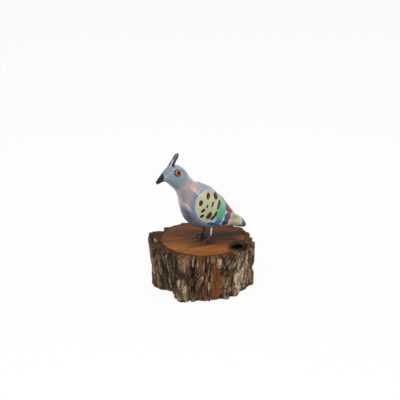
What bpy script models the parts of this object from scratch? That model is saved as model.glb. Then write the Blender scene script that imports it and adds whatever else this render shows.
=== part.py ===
"""Crested pigeon figurine: a glazed clay bird on wire legs, standing on a slice of log.

Units are metres, +Z is up. The origin is the centre of the log slice's sawn underside.
The bird faces -X, and its left side faces -Y.
"""

import math
from typing import NamedTuple

import bmesh
import bpy
from mathutils import Matrix, Vector, noise
from mathutils.bvhtree import BVHTree

MM = 0.001
SEAT_GAP = 0.3 * MM  # glue line between two pieces that touch

# Log slice
LOG_RADIUS = 39.3 * MM
LOG_HEIGHT = 36.5 * MM
BARK_THICKNESS = 7.2 * MM
BARK_UNEVENNESS = 1.3 * MM  # how much thinner the bark is on its thin side
THIN_BARK_ANGLE = math.radians(-18)
WOOD_EDGE_WANDER = 1.0 * MM
BARK_RIDGE_WIDTH = 6.4 * MM
BARK_RIDGE_LENGTH = 30.0 * MM
BARK_FURROW_DEPTH = 3.0 * MM
BARK_FURROW_SHARPNESS = 3.2  # the furrows are narrower with a higher value
BARK_FURROW_WANDER = 0.5  # in widths of a ridge
BARK_LUMP_HEIGHT = 1.1 * MM
BARK_LUMP_WIDTH = 11.9 * MM
BARK_LUMP_LENGTH = 19.0 * MM
BARK_EDGE_DROP = 1.3 * MM  # the bark's broken top edge lies below the sawn face
BARK_EDGE_ROUGHNESS = 0.5 * MM
CAMBIUM_GROOVE_DEPTH = 0.5 * MM
CAMBIUM_GROOVE_WIDTH = 0.9 * MM
BASE_CHAMFER = 1.0 * MM
LOG_SIDES = 208
LOG_LEVELS = 13

# Strip of the front where the outer bark has come away and the orange inner bark shows
BARE_STRIP_ANGLE = math.radians(-94)
BARE_STRIP_HALF_WIDTH = math.radians(5.5)
BARE_STRIP_TOP = 34.0 * MM
BARE_STRIP_FADE = 4.0 * MM
BARE_STRIP_DEPTH = 2.6 * MM
BARE_STRIP_SMOOTHNESS = 0.8  # the share of the bark's relief that is gone there

# Knot hole in the top of the log, at the edge of the wood
KNOT_ANGLE = math.radians(-51)
KNOT_INSET = 2.0 * MM  # from the wood's edge to the knot's centre
KNOT_LENGTH = 9.6 * MM
KNOT_WIDTH = 7.6 * MM
KNOT_DEPTH = 5.5 * MM

# Where the bird stands on the log, and how high its belly is above the wood
BIRD_Y = -2.6 * MM
BELLY_CLEARANCE = 10.3 * MM

# Bird. Its sections, its wings' outline and the places of eyes, crest and hips are drawn in this unit
BIRD_UNIT = 1.0 * MM
SECTION_SIDES = 28
STEPS_BETWEEN_SECTIONS = 3
WING_THICKNESS = 1.5 * MM  # at the shoulder
WING_TIP_THICKNESS = 0.8 * MM
WING_RIM_Y = 9.0 * MM  # how far from the middle plane the wing's edge has its drawn outline
WING_RIM_FLARE = 0.45  # how much the cut widens from the middle plane to there
WING_GAP_AT_SHOULDER = 5.0 * MM
WING_GAP_AT_RUMP = 1.6 * MM
CREST_LENGTH = 11.5 * MM
CREST_WIDTH = 3.7 * MM
CREST_ROOT_WIDTH = 4.9 * MM
CREST_THICKNESS = 2.2 * MM
CREST_ROOT_DEPTH = 2.0 * MM
CREST_LEAN = math.radians(30.3)  # backwards from upright
CREST_TAPER_END = 0.45  # share of the length over which the root's width is lost
CREST_TIP_START = 0.8  # share of the length where the tip starts to round over
CREST_RINGS = (0.0, 0.22, 0.45, 0.8, 0.9, 0.97)
CREST_SIDES = 14
CREST_X = -25.7
TAIL_TIP_REACH = 0.7 * MM
BEAK_TIP_REACH = 0.4 * MM

# Glass eyes
EYE_DIAMETER = 5.2 * MM
EYE_DOME_HEIGHT = 1.1 * MM
EYE_SEAT_DEPTH = 1.3 * MM
EYE_SIDES = 24
EYE_DOME_STEPS = 5
EYE_PLACE = (-22.7, 50.2)

# Wire legs and feet
LEG_DIAMETER = 1.5 * MM
LEG_DEPTH_IN_LOG = 8.0 * MM
LEG_DEPTH_IN_BODY = 6.0 * MM
LEG_SIDES = 16
FOOT_SPREAD = 11.2 * MM  # between the two feet, across the bird
LEFT_FOOT_X = 3.9 * MM
RIGHT_FOOT_X = 1.9 * MM
HIP_SPREAD = 11.4 * MM
LEFT_HIP_X = 5.3
RIGHT_HIP_X = 4.8
TOE_DIAMETER = 0.9 * MM
WIRE_SIDES = 7
RING_STEPS = 16
FRONT_TOE_LENGTH = 5.2 * MM
SIDE_TOE_LENGTH = 4.7 * MM
HIND_TOE_LENGTH = 4.4 * MM
TOE_STEPS = 8
TOE_ARCH = 0.9 * MM
TOE_ARCH_END = 0.75  # share of the toe's length where it comes down again
CLAW_START = 0.7  # share of the length where the wire starts to thin
CLAW_THINNING = 0.6
TOE_SPREAD = math.radians(36)
HIND_TOE_TURN = math.radians(8)
ANKLE_TURNS = 2
ANKLE_TURN_RISE = 0.8  # of the wire's thickness, so that the turns press into each other


class Lobe(NamedTuple):
    """A swelling or hollow of the log's outline, tapering evenly from the foot to the top.

    The heights are shares of the log's radius.
    """

    angle_deg: float
    half_width_deg: float
    height_at_foot: float
    height_at_top: float


LOG_LOBES = (
    Lobe(335, 20, 0.036, 0.036),
    Lobe(8, 14, 0.015, 0.036),
    Lobe(60, 16, -0.031, -0.036),
    Lobe(102, 8, -0.025, -0.036),
    Lobe(127, 4.5, -0.066, -0.122),
    Lobe(138, 6, 0.025, 0.142),
    Lobe(159, 5.5, -0.038, -0.163),
    Lobe(179, 9, -0.038, 0.087),
    Lobe(198, 12, -0.209, -0.005),
    Lobe(226, 7, 0.087, 0.015),
    Lobe(252, 10, -0.051, -0.020),
    Lobe(305, 12, -0.071, -0.020),
)


class Section(NamedTuple):
    """One cross-section of the bird, square to the side view.

    Top and bottom are x and height above the belly of the section's ends, in the bird's unit.
    Fullness above 0 moves the widest place up, and below 0 down.
    """

    top: tuple
    bottom: tuple
    half_width: float
    fullness: float


BIRD_SECTIONS = (
    Section((35.8, -1.0), (35.3, -3.6), 2.4, 0.0),
    Section((34.5, 1.4), (33.4, -4.1), 4.4, 0.0),
    Section((31.4, 4.8), (29.2, -3.0), 5.7, 0.0),
    Section((27.0, 8.2), (22.9, -1.5), 6.9, 0.0),
    Section((22.4, 12.6), (13.2, -0.5), 8.9, -0.05),
    Section((18.1, 19.2), (2.6, 0.0), 11.3, -0.08),
    Section((12.7, 25.8), (-6.0, 2.2), 12.8, -0.08),
    Section((6.1, 31.6), (-12.6, 6.9), 12.9, -0.08),
    Section((-1.5, 35.6), (-16.2, 12.0), 11.6, -0.06),
    Section((-7.0, 39.2), (-18.0, 18.1), 9.6, -0.04),
    Section((-10.6, 43.5), (-19.0, 22.6), 8.3, 0.0),
    Section((-14.4, 49.2), (-19.9, 27.2), 7.7, 0.1),
    Section((-19.0, 53.3), (-21.2, 31.4), 7.6, 0.18),
    Section((-24.2, 54.0), (-23.6, 35.2), 7.2, 0.18),
    Section((-28.6, 52.6), (-26.8, 38.6), 6.0, 0.1),
    Section((-31.5, 50.2), (-29.4, 41.2), 4.3, 0.0),
    Section((-32.9, 48.6), (-31.0, 42.2), 3.1, 0.0),
    Section((-34.4, 46.8), (-32.7, 42.2), 2.4, 0.0),
    Section((-36.4, 44.6), (-34.8, 41.4), 1.8, 0.0),
    Section((-37.9, 42.6), (-36.8, 40.6), 1.2, 0.0),
)

# The wing's outline in the side view, as x and height above the belly in the bird's unit.
# The points above the back only close the curve: there the wing ends at the gap on the spine.
WING_MIDDLE = (5.0, 20.0)
WING_OUTLINE = (
    (-5.6, 44.0),
    (-7.0, 36.0),
    (-8.4, 30.0),
    (-10.3, 24.0),
    (-10.1, 17.4),
    (-6.4, 11.0),
    (0.2, 6.2),
    (7.6, 3.0),
    (15.4, 1.0),
    (21.4, 2.8),
    (23.4, 9.6),
    (22.0, 17.0),
    (20.4, 24.0),
    (18.0, 40.0),
    (4.0, 58.0),
)
WING_OUTLINE_STEPS = 4

MATERIALS = {
    "log_bark": ((0.16, 0.11, 0.07), 0.85, 0.0),
    "glazed_clay": ((0.32, 0.38, 0.47), 0.2, 0.0),
    "amber_glass": ((0.75, 0.36, 0.05), 0.05, 0.0),
    "steel_wire": ((0.45, 0.42, 0.39), 0.35, 1.0),
    "dark_wire": ((0.09, 0.09, 0.1), 0.4, 1.0),
}


# Helpers

def material(name):
    """The named material, made once."""
    found = bpy.data.materials.get(name)
    if found:
        return found
    colour, roughness, metallic = MATERIALS[name]
    found = bpy.data.materials.new(name)
    found.use_nodes = True
    shader = found.node_tree.nodes["Principled BSDF"]
    shader.inputs["Base Color"].default_value = (*colour, 1.0)
    shader.inputs["Roughness"].default_value = roughness
    shader.inputs["Metallic"].default_value = metallic
    return found


def object_from(mesh_data, name, material_name=None, crease=math.radians(40)):
    """A new object in the scene from a bmesh, shaded smooth with its creases sharp."""
    bmesh.ops.recalc_face_normals(mesh_data, faces=mesh_data.faces)
    mesh = bpy.data.meshes.new(name)
    mesh_data.to_mesh(mesh)
    mesh_data.free()
    mesh.shade_smooth()
    mesh.set_sharp_from_angle(angle=crease)
    made = bpy.data.objects.new(name, mesh)
    bpy.context.scene.collection.objects.link(made)
    if material_name:
        mesh.materials.append(material(material_name))
    return made


def combine(target, other, operation):
    """Adds a Boolean to target and hides the other object, which is only its tool."""
    other.hide_render = True
    other.display_type = "WIRE"
    modifier = target.modifiers.new(f"{operation}_{other.name}".lower(), "BOOLEAN")
    modifier.operation = operation
    modifier.solver = "EXACT"
    modifier.object = other


def bridged(rings, start_cap=None, end_cap=None):
    """A closed bmesh through rings of points with the same count, with flat or pointed ends."""
    made = bmesh.new()
    loops = [[made.verts.new(point) for point in ring] for ring in rings]
    for lower, upper in zip(loops, loops[1:]):
        for i in range(len(lower)):
            j = (i + 1) % len(lower)
            made.faces.new((lower[i], lower[j], upper[j], upper[i]))
    for loop, tip in ((loops[0], start_cap), (loops[-1], end_cap)):
        if tip is None:
            made.faces.new(loop)
            continue
        centre = made.verts.new(tip)
        for i in range(len(loop)):
            made.faces.new((loop[i], loop[(i + 1) % len(loop)], centre))
    return made


def through(before, start, end, after, share):
    """A point on the Catmull-Rom curve from start to end."""
    a = 2.0 * start
    b = (end - before) * share
    c = (2.0 * before - 5.0 * start + 4.0 * end - after) * share**2
    d = (3.0 * start - before - 3.0 * end + after) * share**3
    return 0.5 * (a + b + c + d)


def cylinder(start, end, radius, sides, name, material_name=None):
    """A plain rod from start to end."""
    axis = end - start
    turn = axis.to_track_quat("Z", "Y").to_matrix().to_4x4()
    rod = bmesh.new()
    bmesh.ops.create_cone(
        rod,
        cap_ends=True,
        segments=sides,
        radius1=radius,
        radius2=radius,
        depth=axis.length,
        matrix=Matrix.Translation((start + end) / 2) @ turn,
    )
    return object_from(rod, name, material_name)


# Log slice

def outline_radius(angle, rise):
    """The log's radius without its bark's relief, at an angle and a share of its height."""
    radius = LOG_RADIUS
    for lobe in LOG_LOBES:
        away = (math.degrees(angle) - lobe.angle_deg + 180) % 360 - 180
        height = lobe.height_at_foot + (lobe.height_at_top - lobe.height_at_foot) * rise
        radius += LOG_RADIUS * height * math.exp(-((away / lobe.half_width_deg) ** 2))
    return radius


def bark_relief(angle, height):
    """How far the bark's surface lies from the outline: broad lumps, and long ridges between furrows."""
    around = Vector((math.cos(angle), math.sin(angle), 0)) * LOG_RADIUS
    place = around / BARK_RIDGE_WIDTH + Vector((0, 0, height / BARK_RIDGE_LENGTH))
    place += BARK_FURROW_WANDER * noise.noise_vector(place * 0.6)
    furrow = max(0.0, 1.0 - abs(noise.noise(place)) * BARK_FURROW_SHARPNESS)
    lump = noise.noise(around / BARK_LUMP_WIDTH + Vector((7, 3, 1 + height / BARK_LUMP_LENGTH)))
    return BARK_LUMP_HEIGHT * lump - BARK_FURROW_DEPTH * furrow


def bare_share(angle, height):
    """How much of the outer bark has come away at this place, from 0 to 1."""
    away = (angle - BARE_STRIP_ANGLE + math.pi) % (2 * math.pi) - math.pi
    across = math.exp(-((away / BARE_STRIP_HALF_WIDTH) ** 4))
    return across * min(1.0, max(0.0, (BARE_STRIP_TOP - height) / BARE_STRIP_FADE))


def bark_radius(angle, height):
    """The radius of the bark's surface."""
    bare = bare_share(angle, height)
    relief = bark_relief(angle, height) * (1.0 - BARE_STRIP_SMOOTHNESS * bare)
    return outline_radius(angle, height / LOG_HEIGHT) + relief - BARE_STRIP_DEPTH * bare


def wood_radius(angle):
    """The edge of the wood on the sawn face, inside the bark."""
    wander = noise.noise(Vector((math.cos(angle), math.sin(angle), 5.0)) * 1.3)
    uneven = BARK_UNEVENNESS * math.cos(angle - THIN_BARK_ANGLE)
    return LOG_RADIUS - BARK_THICKNESS + uneven + WOOD_EDGE_WANDER * wander


def log_rings():
    """The log's rings of points, from the underside's edge up and in to the sawn face's edge."""
    angles = [2 * math.pi * i / LOG_SIDES for i in range(LOG_SIDES)]
    edge = LOG_HEIGHT - BARK_EDGE_DROP
    heights = [BASE_CHAMFER + (edge - BASE_CHAMFER) * i / (LOG_LEVELS - 1) for i in range(LOG_LEVELS)]

    def ring(radius_at, height_at):
        return [
            Vector((radius_at(a) * math.cos(a), radius_at(a) * math.sin(a), height_at(a)))
            for a in angles
        ]

    def rim(share):
        """Radius between the wood's edge and the bark's outer edge."""
        def radius_at(a):
            inner = wood_radius(a) + CAMBIUM_GROOVE_WIDTH
            return inner + (bark_radius(a, edge) - inner) * share
        return radius_at

    def rim_height(a):
        rough = noise.noise(Vector((math.cos(a), math.sin(a), 2.0)) * 6.0)
        return LOG_HEIGHT - 0.45 * BARK_EDGE_DROP + BARK_EDGE_ROUGHNESS * rough

    rings = [ring(lambda a: bark_radius(a, 0.0) - BASE_CHAMFER, lambda a: 0.0)]
    rings += [ring(lambda a, h=h: bark_radius(a, h), lambda a, h=h: h) for h in heights]
    rings.append(ring(rim(0.62), rim_height))
    rings.append(ring(rim(0.0), lambda a: LOG_HEIGHT - CAMBIUM_GROOVE_DEPTH))
    rings.append(ring(wood_radius, lambda a: LOG_HEIGHT))
    return rings


def centred(rings):
    """The rings moved so that the log's box is centred on the origin."""
    points = [point for ring in rings for point in ring]
    middle = Vector((
        (min(p.x for p in points) + max(p.x for p in points)) / 2,
        (min(p.y for p in points) + max(p.y for p in points)) / 2,
        0.0,
    ))
    return [[point - middle for point in ring] for ring in rings], middle


def make_knot_cutter(middle):
    """The rounded hollow where a knot has rotted out, at the wood's edge."""
    reach = wood_radius(KNOT_ANGLE) - KNOT_INSET
    centre = Vector((math.cos(KNOT_ANGLE), math.sin(KNOT_ANGLE), 0)) * reach - middle
    hollow = bmesh.new()
    bmesh.ops.create_icosphere(
        hollow,
        subdivisions=2,
        radius=1.0,
        matrix=Matrix.Translation(centre + Vector((0, 0, LOG_HEIGHT)))
        @ Matrix.Rotation(KNOT_ANGLE + math.pi / 2, 4, "Z")
        @ Matrix.Diagonal((KNOT_LENGTH / 2, KNOT_WIDTH / 2, KNOT_DEPTH, 1)),
    )
    return object_from(hollow, "knot_cutter")


def make_log_slice():
    """The slice of log: one piece of wood with its bark on."""
    rings, middle = centred(log_rings())
    log = object_from(bridged(rings), "log_slice", "log_bark", math.radians(25))
    combine(log, make_knot_cutter(middle), "DIFFERENCE")
    return log


# Bird's body

def bird_place(x, height):
    """A point on the bird's middle plane, from x and the height above its belly in the bird's unit."""
    return Vector((x * BIRD_UNIT, BIRD_Y, LOG_HEIGHT + BELLY_CLEARANCE + height * BIRD_UNIT))


def section_ring(top, bottom, half_width, fullness, thickness_at):
    """The points round one cross-section, starting at its top, and grown outwards all round."""
    middle = (top + bottom) / 2
    grow = thickness_at(middle.x)
    up = (top - bottom) / 2
    up += up.normalized() * grow
    points = []
    for i in range(SECTION_SIDES):
        turn = 2 * math.pi * i / SECTION_SIDES
        across = (half_width + grow) * math.sin(turn) * (1 + fullness * math.cos(turn))
        points.append(middle + up * math.cos(turn) + Vector((0, across, 0)))
    return points


def bird_rings(thickness_at):
    """Smooth rings through the bird's cross-sections, from tail to beak.

    thickness_at gives how far a ring is grown outwards, from the x of its middle.
    """
    rows = []
    for section in BIRD_SECTIONS:
        top = bird_place(*section.top)
        bottom = bird_place(*section.bottom)
        rows.append((top, bottom, section.half_width * BIRD_UNIT, section.fullness))
    rings = []
    for i in range(len(rows) - 1):
        four = [rows[max(i - 1, 0)], rows[i], rows[i + 1], rows[min(i + 2, len(rows) - 1)]]
        for step in range(STEPS_BETWEEN_SECTIONS):
            share = step / STEPS_BETWEEN_SECTIONS
            top, bottom, half_width, fullness = (through(*values, share) for values in zip(*four))
            rings.append(section_ring(top, bottom, half_width, fullness, thickness_at))
    rings.append(section_ring(*rows[-1], thickness_at))
    return rings


def ring_tip(ring, inner_ring, reach):
    """A point beyond an end ring, to round the end off."""
    centre = sum(ring, Vector()) / len(ring)
    inner = sum(inner_ring, Vector()) / len(inner_ring)
    return centre + (centre - inner).normalized() * reach


def lofted_bird(name, thickness_at, material_name=None):
    """The bird's body, neck, head, beak and tail as one smooth form."""
    rings = bird_rings(thickness_at)
    tail_tip = ring_tip(rings[0], rings[1], TAIL_TIP_REACH)
    beak_tip = ring_tip(rings[-1], rings[-2], BEAK_TIP_REACH)
    return object_from(bridged(rings, tail_tip, beak_tip), name, material_name)


def smooth_outline(points, steps):
    """A closed curve through the points."""
    corners = [Vector(point) for point in points]
    count = len(corners)
    curve = []
    for i in range(count):
        four = [corners[(i + offset) % count] for offset in (-1, 0, 1, 2)]
        curve += [through(*four, step / steps) for step in range(steps)]
    return curve


def make_wing(side):
    """One folded wing: a slab that follows the body, cut to the wing's outline.

    side is -1 for the left wing and 1 for the right one.
    """
    name = "left" if side < 0 else "right"
    outline = smooth_outline(WING_OUTLINE, WING_OUTLINE_STEPS)
    front = min(point.x for point in outline)
    back = max(point.x for point in outline)
    far_side = 2 * max(section.half_width for section in BIRD_SECTIONS) * BIRD_UNIT

    def along_wing(x, at_shoulder, at_tip):
        """A size that changes evenly from the wing's shoulder to its tip."""
        share = min(1.0, max(0.0, (x / BIRD_UNIT - front) / (back - front)))
        return at_shoulder + (at_tip - at_shoulder) * share

    def spine_gap(x):
        return along_wing(x * BIRD_UNIT, WING_GAP_AT_SHOULDER, WING_GAP_AT_RUMP) / 2

    def flared(points, y_at):
        """The outline at a distance from the middle plane, wider the further out it is."""
        middle = Vector(WING_MIDDLE)
        ring = []
        for p in points:
            y = y_at(p.x)
            flat = middle + (p - middle) * (1 + WING_RIM_FLARE * (y / WING_RIM_Y - 1))
            ring.append(bird_place(flat.x, flat.y) + Vector((0, side * y, 0)))
        return ring

    slab = lofted_bird(f"{name}_wing", lambda x: along_wing(x, WING_THICKNESS, WING_TIP_THICKNESS))
    near = flared(outline, spine_gap)
    far = flared(outline, lambda x: far_side)
    pattern = object_from(bridged([near, far]), f"{name}_wing_pattern")
    combine(slab, pattern, "INTERSECT")
    return slab


def crest_size(share):
    """The crest's half width and half thickness at a share of its length."""
    taper = min(1.0, share / CREST_TAPER_END)
    width = CREST_ROOT_WIDTH + (CREST_WIDTH - CREST_ROOT_WIDTH) * taper
    over = max(0.0, (share - CREST_TIP_START) / (1.0 - CREST_TIP_START))
    rounding = math.sqrt(1.0 - over**2)
    return width / 2 * rounding, CREST_THICKNESS / 2 * rounding


def make_crest(surface):
    """The upright crest: a flat finger that leans back, wider at its root and rounded at its tip."""
    above = bird_place(CREST_X, 0) + Vector((0, 0, 2 * LOG_HEIGHT + CREST_LENGTH))
    root, _, _, _ = surface.ray_cast(above, Vector((0, 0, -1)))
    along = Vector((math.sin(CREST_LEAN), 0, math.cos(CREST_LEAN)))
    across = Vector((math.cos(CREST_LEAN), 0, -math.sin(CREST_LEAN)))

    def ring(distance, share):
        half_width, half_thickness = crest_size(share)
        return [
            root
            + along * distance
            + across * (half_width * math.cos(a))
            + Vector((0, half_thickness * math.sin(a), 0))
            for a in (2 * math.pi * i / CREST_SIDES for i in range(CREST_SIDES))
        ]

    rings = [ring(-CREST_ROOT_DEPTH, 0.0)] + [ring(CREST_LENGTH * share, share) for share in CREST_RINGS]
    return object_from(bridged(rings, None, root + along * CREST_LENGTH), "crest")


def surface_of(obj):
    """A search tree of an object's own mesh."""
    shape = bmesh.new()
    shape.from_mesh(obj.data)
    tree = BVHTree.FromBMesh(shape)
    shape.free()
    return tree


def eye_seat(surface, side):
    """Where an eye meets the head's surface, and which way it faces."""
    outside = bird_place(*EYE_PLACE) + Vector((0, side * LOG_RADIUS, 0))
    centre, facing, _, _ = surface.ray_cast(outside, Vector((0, -side, 0)))
    return centre, facing.normalized()


def add_wings_and_crest(bird, surface):
    """Joins the wings and the crest onto the body."""
    for side in (-1, 1):
        combine(bird, make_wing(side), "UNION")
    combine(bird, make_crest(surface), "UNION")


def cut_eye_seats(bird, surface):
    """Cuts a round seat for each eye into the head."""
    for side in (-1, 1):
        centre, facing = eye_seat(surface, side)
        seat = cylinder(
            centre - facing * (EYE_SEAT_DEPTH + SEAT_GAP),
            centre + facing * EYE_DIAMETER,
            EYE_DIAMETER / 2 + SEAT_GAP,
            EYE_SIDES,
            "left_eye_seat" if side < 0 else "right_eye_seat",
        )
        combine(bird, seat, "DIFFERENCE")


# Glass eyes

def make_eye(surface, side):
    """A glass eye: a short round seat in the head with a dome on it."""
    name = "left_eye" if side < 0 else "right_eye"
    centre, facing = eye_seat(surface, side)
    radius = EYE_DIAMETER / 2
    turn = facing.to_track_quat("Z", "Y").to_matrix()

    def ring(out, height):
        return [
            centre + turn @ Vector((out * math.cos(a), out * math.sin(a), height))
            for a in (2 * math.pi * i / EYE_SIDES for i in range(EYE_SIDES))
        ]

    rings = [ring(radius, -EYE_SEAT_DEPTH)]
    for i in range(EYE_DOME_STEPS):
        lift = math.pi / 2 * i / EYE_DOME_STEPS
        rings.append(ring(radius * math.cos(lift), EYE_DOME_HEIGHT * math.sin(lift)))
    top = centre + facing * EYE_DOME_HEIGHT
    return object_from(bridged(rings, None, top), name, "amber_glass")


# Legs and feet

def leg_ends(surface, side):
    """Where one leg meets the wood, where it meets the belly, and its direction upwards."""
    foot_x = LEFT_FOOT_X if side < 0 else RIGHT_FOOT_X
    hip_x = LEFT_HIP_X if side < 0 else RIGHT_HIP_X
    foot = Vector((foot_x, BIRD_Y + side * FOOT_SPREAD / 2, LOG_HEIGHT))
    below = Vector((hip_x * BIRD_UNIT, BIRD_Y + side * HIP_SPREAD / 2, LOG_HEIGHT))
    hip, _, _, _ = surface.ray_cast(below, Vector((0, 0, 1)))
    return foot, hip, (hip - foot).normalized()


def make_leg(surface, side, log, bird):
    """A straight wire leg, glued into a hole in the log and a hole in the belly."""
    name = "left_leg" if side < 0 else "right_leg"
    foot, hip, up = leg_ends(surface, side)
    low = foot - up * LEG_DEPTH_IN_LOG
    high = hip + up * LEG_DEPTH_IN_BODY
    leg = cylinder(low, high, LEG_DIAMETER / 2, LEG_SIDES, name, "steel_wire")
    hole_radius = LEG_DIAMETER / 2 + SEAT_GAP
    log_hole = cylinder(
        low - up * SEAT_GAP, foot + up * BELLY_CLEARANCE / 2, hole_radius, LEG_SIDES, f"{name}_hole_in_log"
    )
    combine(log, log_hole, "DIFFERENCE")
    body_hole = cylinder(
        foot + up * BELLY_CLEARANCE / 2, high + up * SEAT_GAP, hole_radius, LEG_SIDES, f"{name}_hole_in_body"
    )
    combine(bird, body_hole, "DIFFERENCE")
    return leg


def tube(points, radii, sides):
    """A closed round tube through the points, with its own radius at each."""
    rings = []
    for i, point in enumerate(points):
        before = points[max(i - 1, 0)]
        after = points[min(i + 1, len(points) - 1)]
        turn = (after - before).to_track_quat("Z", "Y").to_matrix()
        rings.append([
            point + turn @ Vector((math.cos(a), math.sin(a), 0)) * radii[i]
            for a in (2 * math.pi * k / sides for k in range(sides))
        ])
    return bridged(rings)


def wire_ring(centre, ring_radius, wire_radius, name, material_name=None):
    """One turn of wire, flat, about an upright axis."""
    ring = bmesh.new()
    loops = []
    for i in range(RING_STEPS):
        a = 2 * math.pi * i / RING_STEPS
        out = Vector((math.cos(a), math.sin(a), 0))
        loops.append([
            ring.verts.new(
                centre
                + out * (ring_radius + wire_radius * math.cos(b))
                + Vector((0, 0, wire_radius * math.sin(b)))
            )
            for b in (2 * math.pi * k / WIRE_SIDES for k in range(WIRE_SIDES))
        ])
    for i in range(RING_STEPS):
        here, after = loops[i], loops[(i + 1) % RING_STEPS]
        for k in range(WIRE_SIDES):
            j = (k + 1) % WIRE_SIDES
            ring.faces.new((here[k], here[j], after[j], after[k]))
    return object_from(ring, name, material_name)


def make_toe(ankle, heading, length, name):
    """One toe: a wire that leaves the ankle's lowest turn, arches over and ends in a claw."""
    wire = TOE_DIAMETER / 2
    start = ankle_radius()
    points, radii = [], []
    for i in range(TOE_STEPS + 1):
        share = i / TOE_STEPS
        claw = 1.0 - CLAW_THINNING * max(0.0, (share - CLAW_START) / (1.0 - CLAW_START))
        arch = TOE_ARCH * math.sin(math.pi * min(1.0, share / TOE_ARCH_END))
        points.append(ankle + heading * (start + (length - start) * share) + Vector((0, 0, arch)))
        points[-1].z -= wire * (1.0 - claw)
        radii.append(wire * claw)
    return object_from(tube(points, radii, WIRE_SIDES), name)


def ankle_radius():
    """The middle radius of the wire wound round a leg."""
    return LEG_DIAMETER / 2 + SEAT_GAP + TOE_DIAMETER / 2


def make_foot(surface, side):
    """A foot: toe wire wound round the leg, with three toes forward and one back."""
    name = "left_foot" if side < 0 else "right_foot"
    foot, _, up = leg_ends(surface, side)
    wire = TOE_DIAMETER / 2
    lean = up / up.z
    heights = [SEAT_GAP + wire + TOE_DIAMETER * ANKLE_TURN_RISE * i for i in range(ANKLE_TURNS)]
    centres = [foot + lean * height for height in heights]
    made = wire_ring(centres[0], ankle_radius(), wire, name, "dark_wire")
    for i, centre in enumerate(centres[1:]):
        turn = wire_ring(centre, ankle_radius(), wire, f"{name}_turn_{i + 2}")
        combine(made, turn, "UNION")
    forward = math.pi
    toes = (
        ("middle", forward, FRONT_TOE_LENGTH),
        ("inner", forward + side * TOE_SPREAD, SIDE_TOE_LENGTH),
        ("outer", forward - side * TOE_SPREAD, SIDE_TOE_LENGTH),
        ("hind", side * HIND_TOE_TURN, HIND_TOE_LENGTH),
    )
    for toe_name, angle, length in toes:
        heading = Vector((math.cos(angle), math.sin(angle), 0))
        toe = make_toe(centres[0], heading, length, f"{name}_{toe_name}_toe")
        combine(made, toe, "UNION")
    return made


# Whole figurine

def clear_scene():
    """Removes whatever the scene holds."""
    for obj in list(bpy.data.objects):
        bpy.data.objects.remove(obj)


def main():
    """Makes the log slice, the bird, its eyes, legs and feet."""
    clear_scene()
    log = make_log_slice()
    bird = lofted_bird("pigeon_body", lambda x: 0.0, "glazed_clay")
    surface = surface_of(bird)
    add_wings_and_crest(bird, surface)
    cut_eye_seats(bird, surface)
    for side in (-1, 1):
        make_eye(surface, side)
        make_leg(surface, side, log, bird)
        make_foot(surface, side)


main()
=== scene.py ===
"""Looks of the crested pigeon figurine: painted clay bird, glass eyes, wire legs and a slice of branch."""

import logging
import math
from collections.abc import Callable, Iterator
from contextlib import contextmanager
from dataclasses import dataclass
from enum import Enum

import bmesh
import bpy
import numpy as np
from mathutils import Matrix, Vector, noise
from mathutils.bvhtree import BVHTree


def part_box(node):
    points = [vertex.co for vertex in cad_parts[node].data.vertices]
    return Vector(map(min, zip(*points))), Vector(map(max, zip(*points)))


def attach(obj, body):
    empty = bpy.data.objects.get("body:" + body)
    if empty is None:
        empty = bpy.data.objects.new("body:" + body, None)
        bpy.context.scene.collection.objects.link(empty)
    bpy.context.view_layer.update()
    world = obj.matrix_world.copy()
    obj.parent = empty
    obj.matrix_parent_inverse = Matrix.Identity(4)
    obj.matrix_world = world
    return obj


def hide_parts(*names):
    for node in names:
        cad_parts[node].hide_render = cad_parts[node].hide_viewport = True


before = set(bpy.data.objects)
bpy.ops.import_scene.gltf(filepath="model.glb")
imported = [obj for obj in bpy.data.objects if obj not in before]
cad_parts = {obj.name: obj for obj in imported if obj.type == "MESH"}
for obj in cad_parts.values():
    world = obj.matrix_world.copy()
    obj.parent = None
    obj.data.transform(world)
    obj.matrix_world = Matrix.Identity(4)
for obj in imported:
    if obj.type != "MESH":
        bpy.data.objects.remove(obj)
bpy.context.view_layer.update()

LOG = logging.getLogger("pigeon_figurine")
MM = 0.001
BODY = "root"

# Heights and places that the log, the bird, its legs and its paint share
LOG_HEIGHT = 36.5 * MM
BELLY_CLEARANCE = 10.3 * MM
BIRD_Y = -2.6 * MM
BELLY_Z = LOG_HEIGHT + BELLY_CLEARANCE

Colour = tuple[float, float, float]


class Side(Enum):
    """The bird's two sides, as the sign of Y."""

    LEFT = -1
    RIGHT = 1

    @property
    def word(self) -> str:
        """The side's name in lower case."""
        return self.name.lower()


def paint(red: int, green: int, blue: int) -> Colour:
    """A colour as it looks on a screen, from 0 to 255, in the linear values that shaders use."""
    return tuple(
        value / 12.92 if value <= 0.04045 else ((value + 0.055) / 1.055) ** 2.4
        for value in (red / 255, green / 255, blue / 255)
    )


def ease(value: object, low: float, high: float) -> object:
    """A smooth step from 0 at low to 1 at high."""
    share = np.clip((value - low) / (high - low), 0.0, 1.0)
    return share * share * (3.0 - 2.0 * share)


def through(before: object, start: object, end: object, after: object, share: float) -> object:
    """A point on the Catmull-Rom curve from start to end."""
    first = 2.0 * start
    second = (end - before) * share
    third = (2.0 * before - 5.0 * start + 4.0 * end - after) * share**2
    fourth = (3.0 * start - before - 3.0 * end + after) * share**3
    return 0.5 * (first + second + third + fourth)


# Tools for meshes

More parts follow.
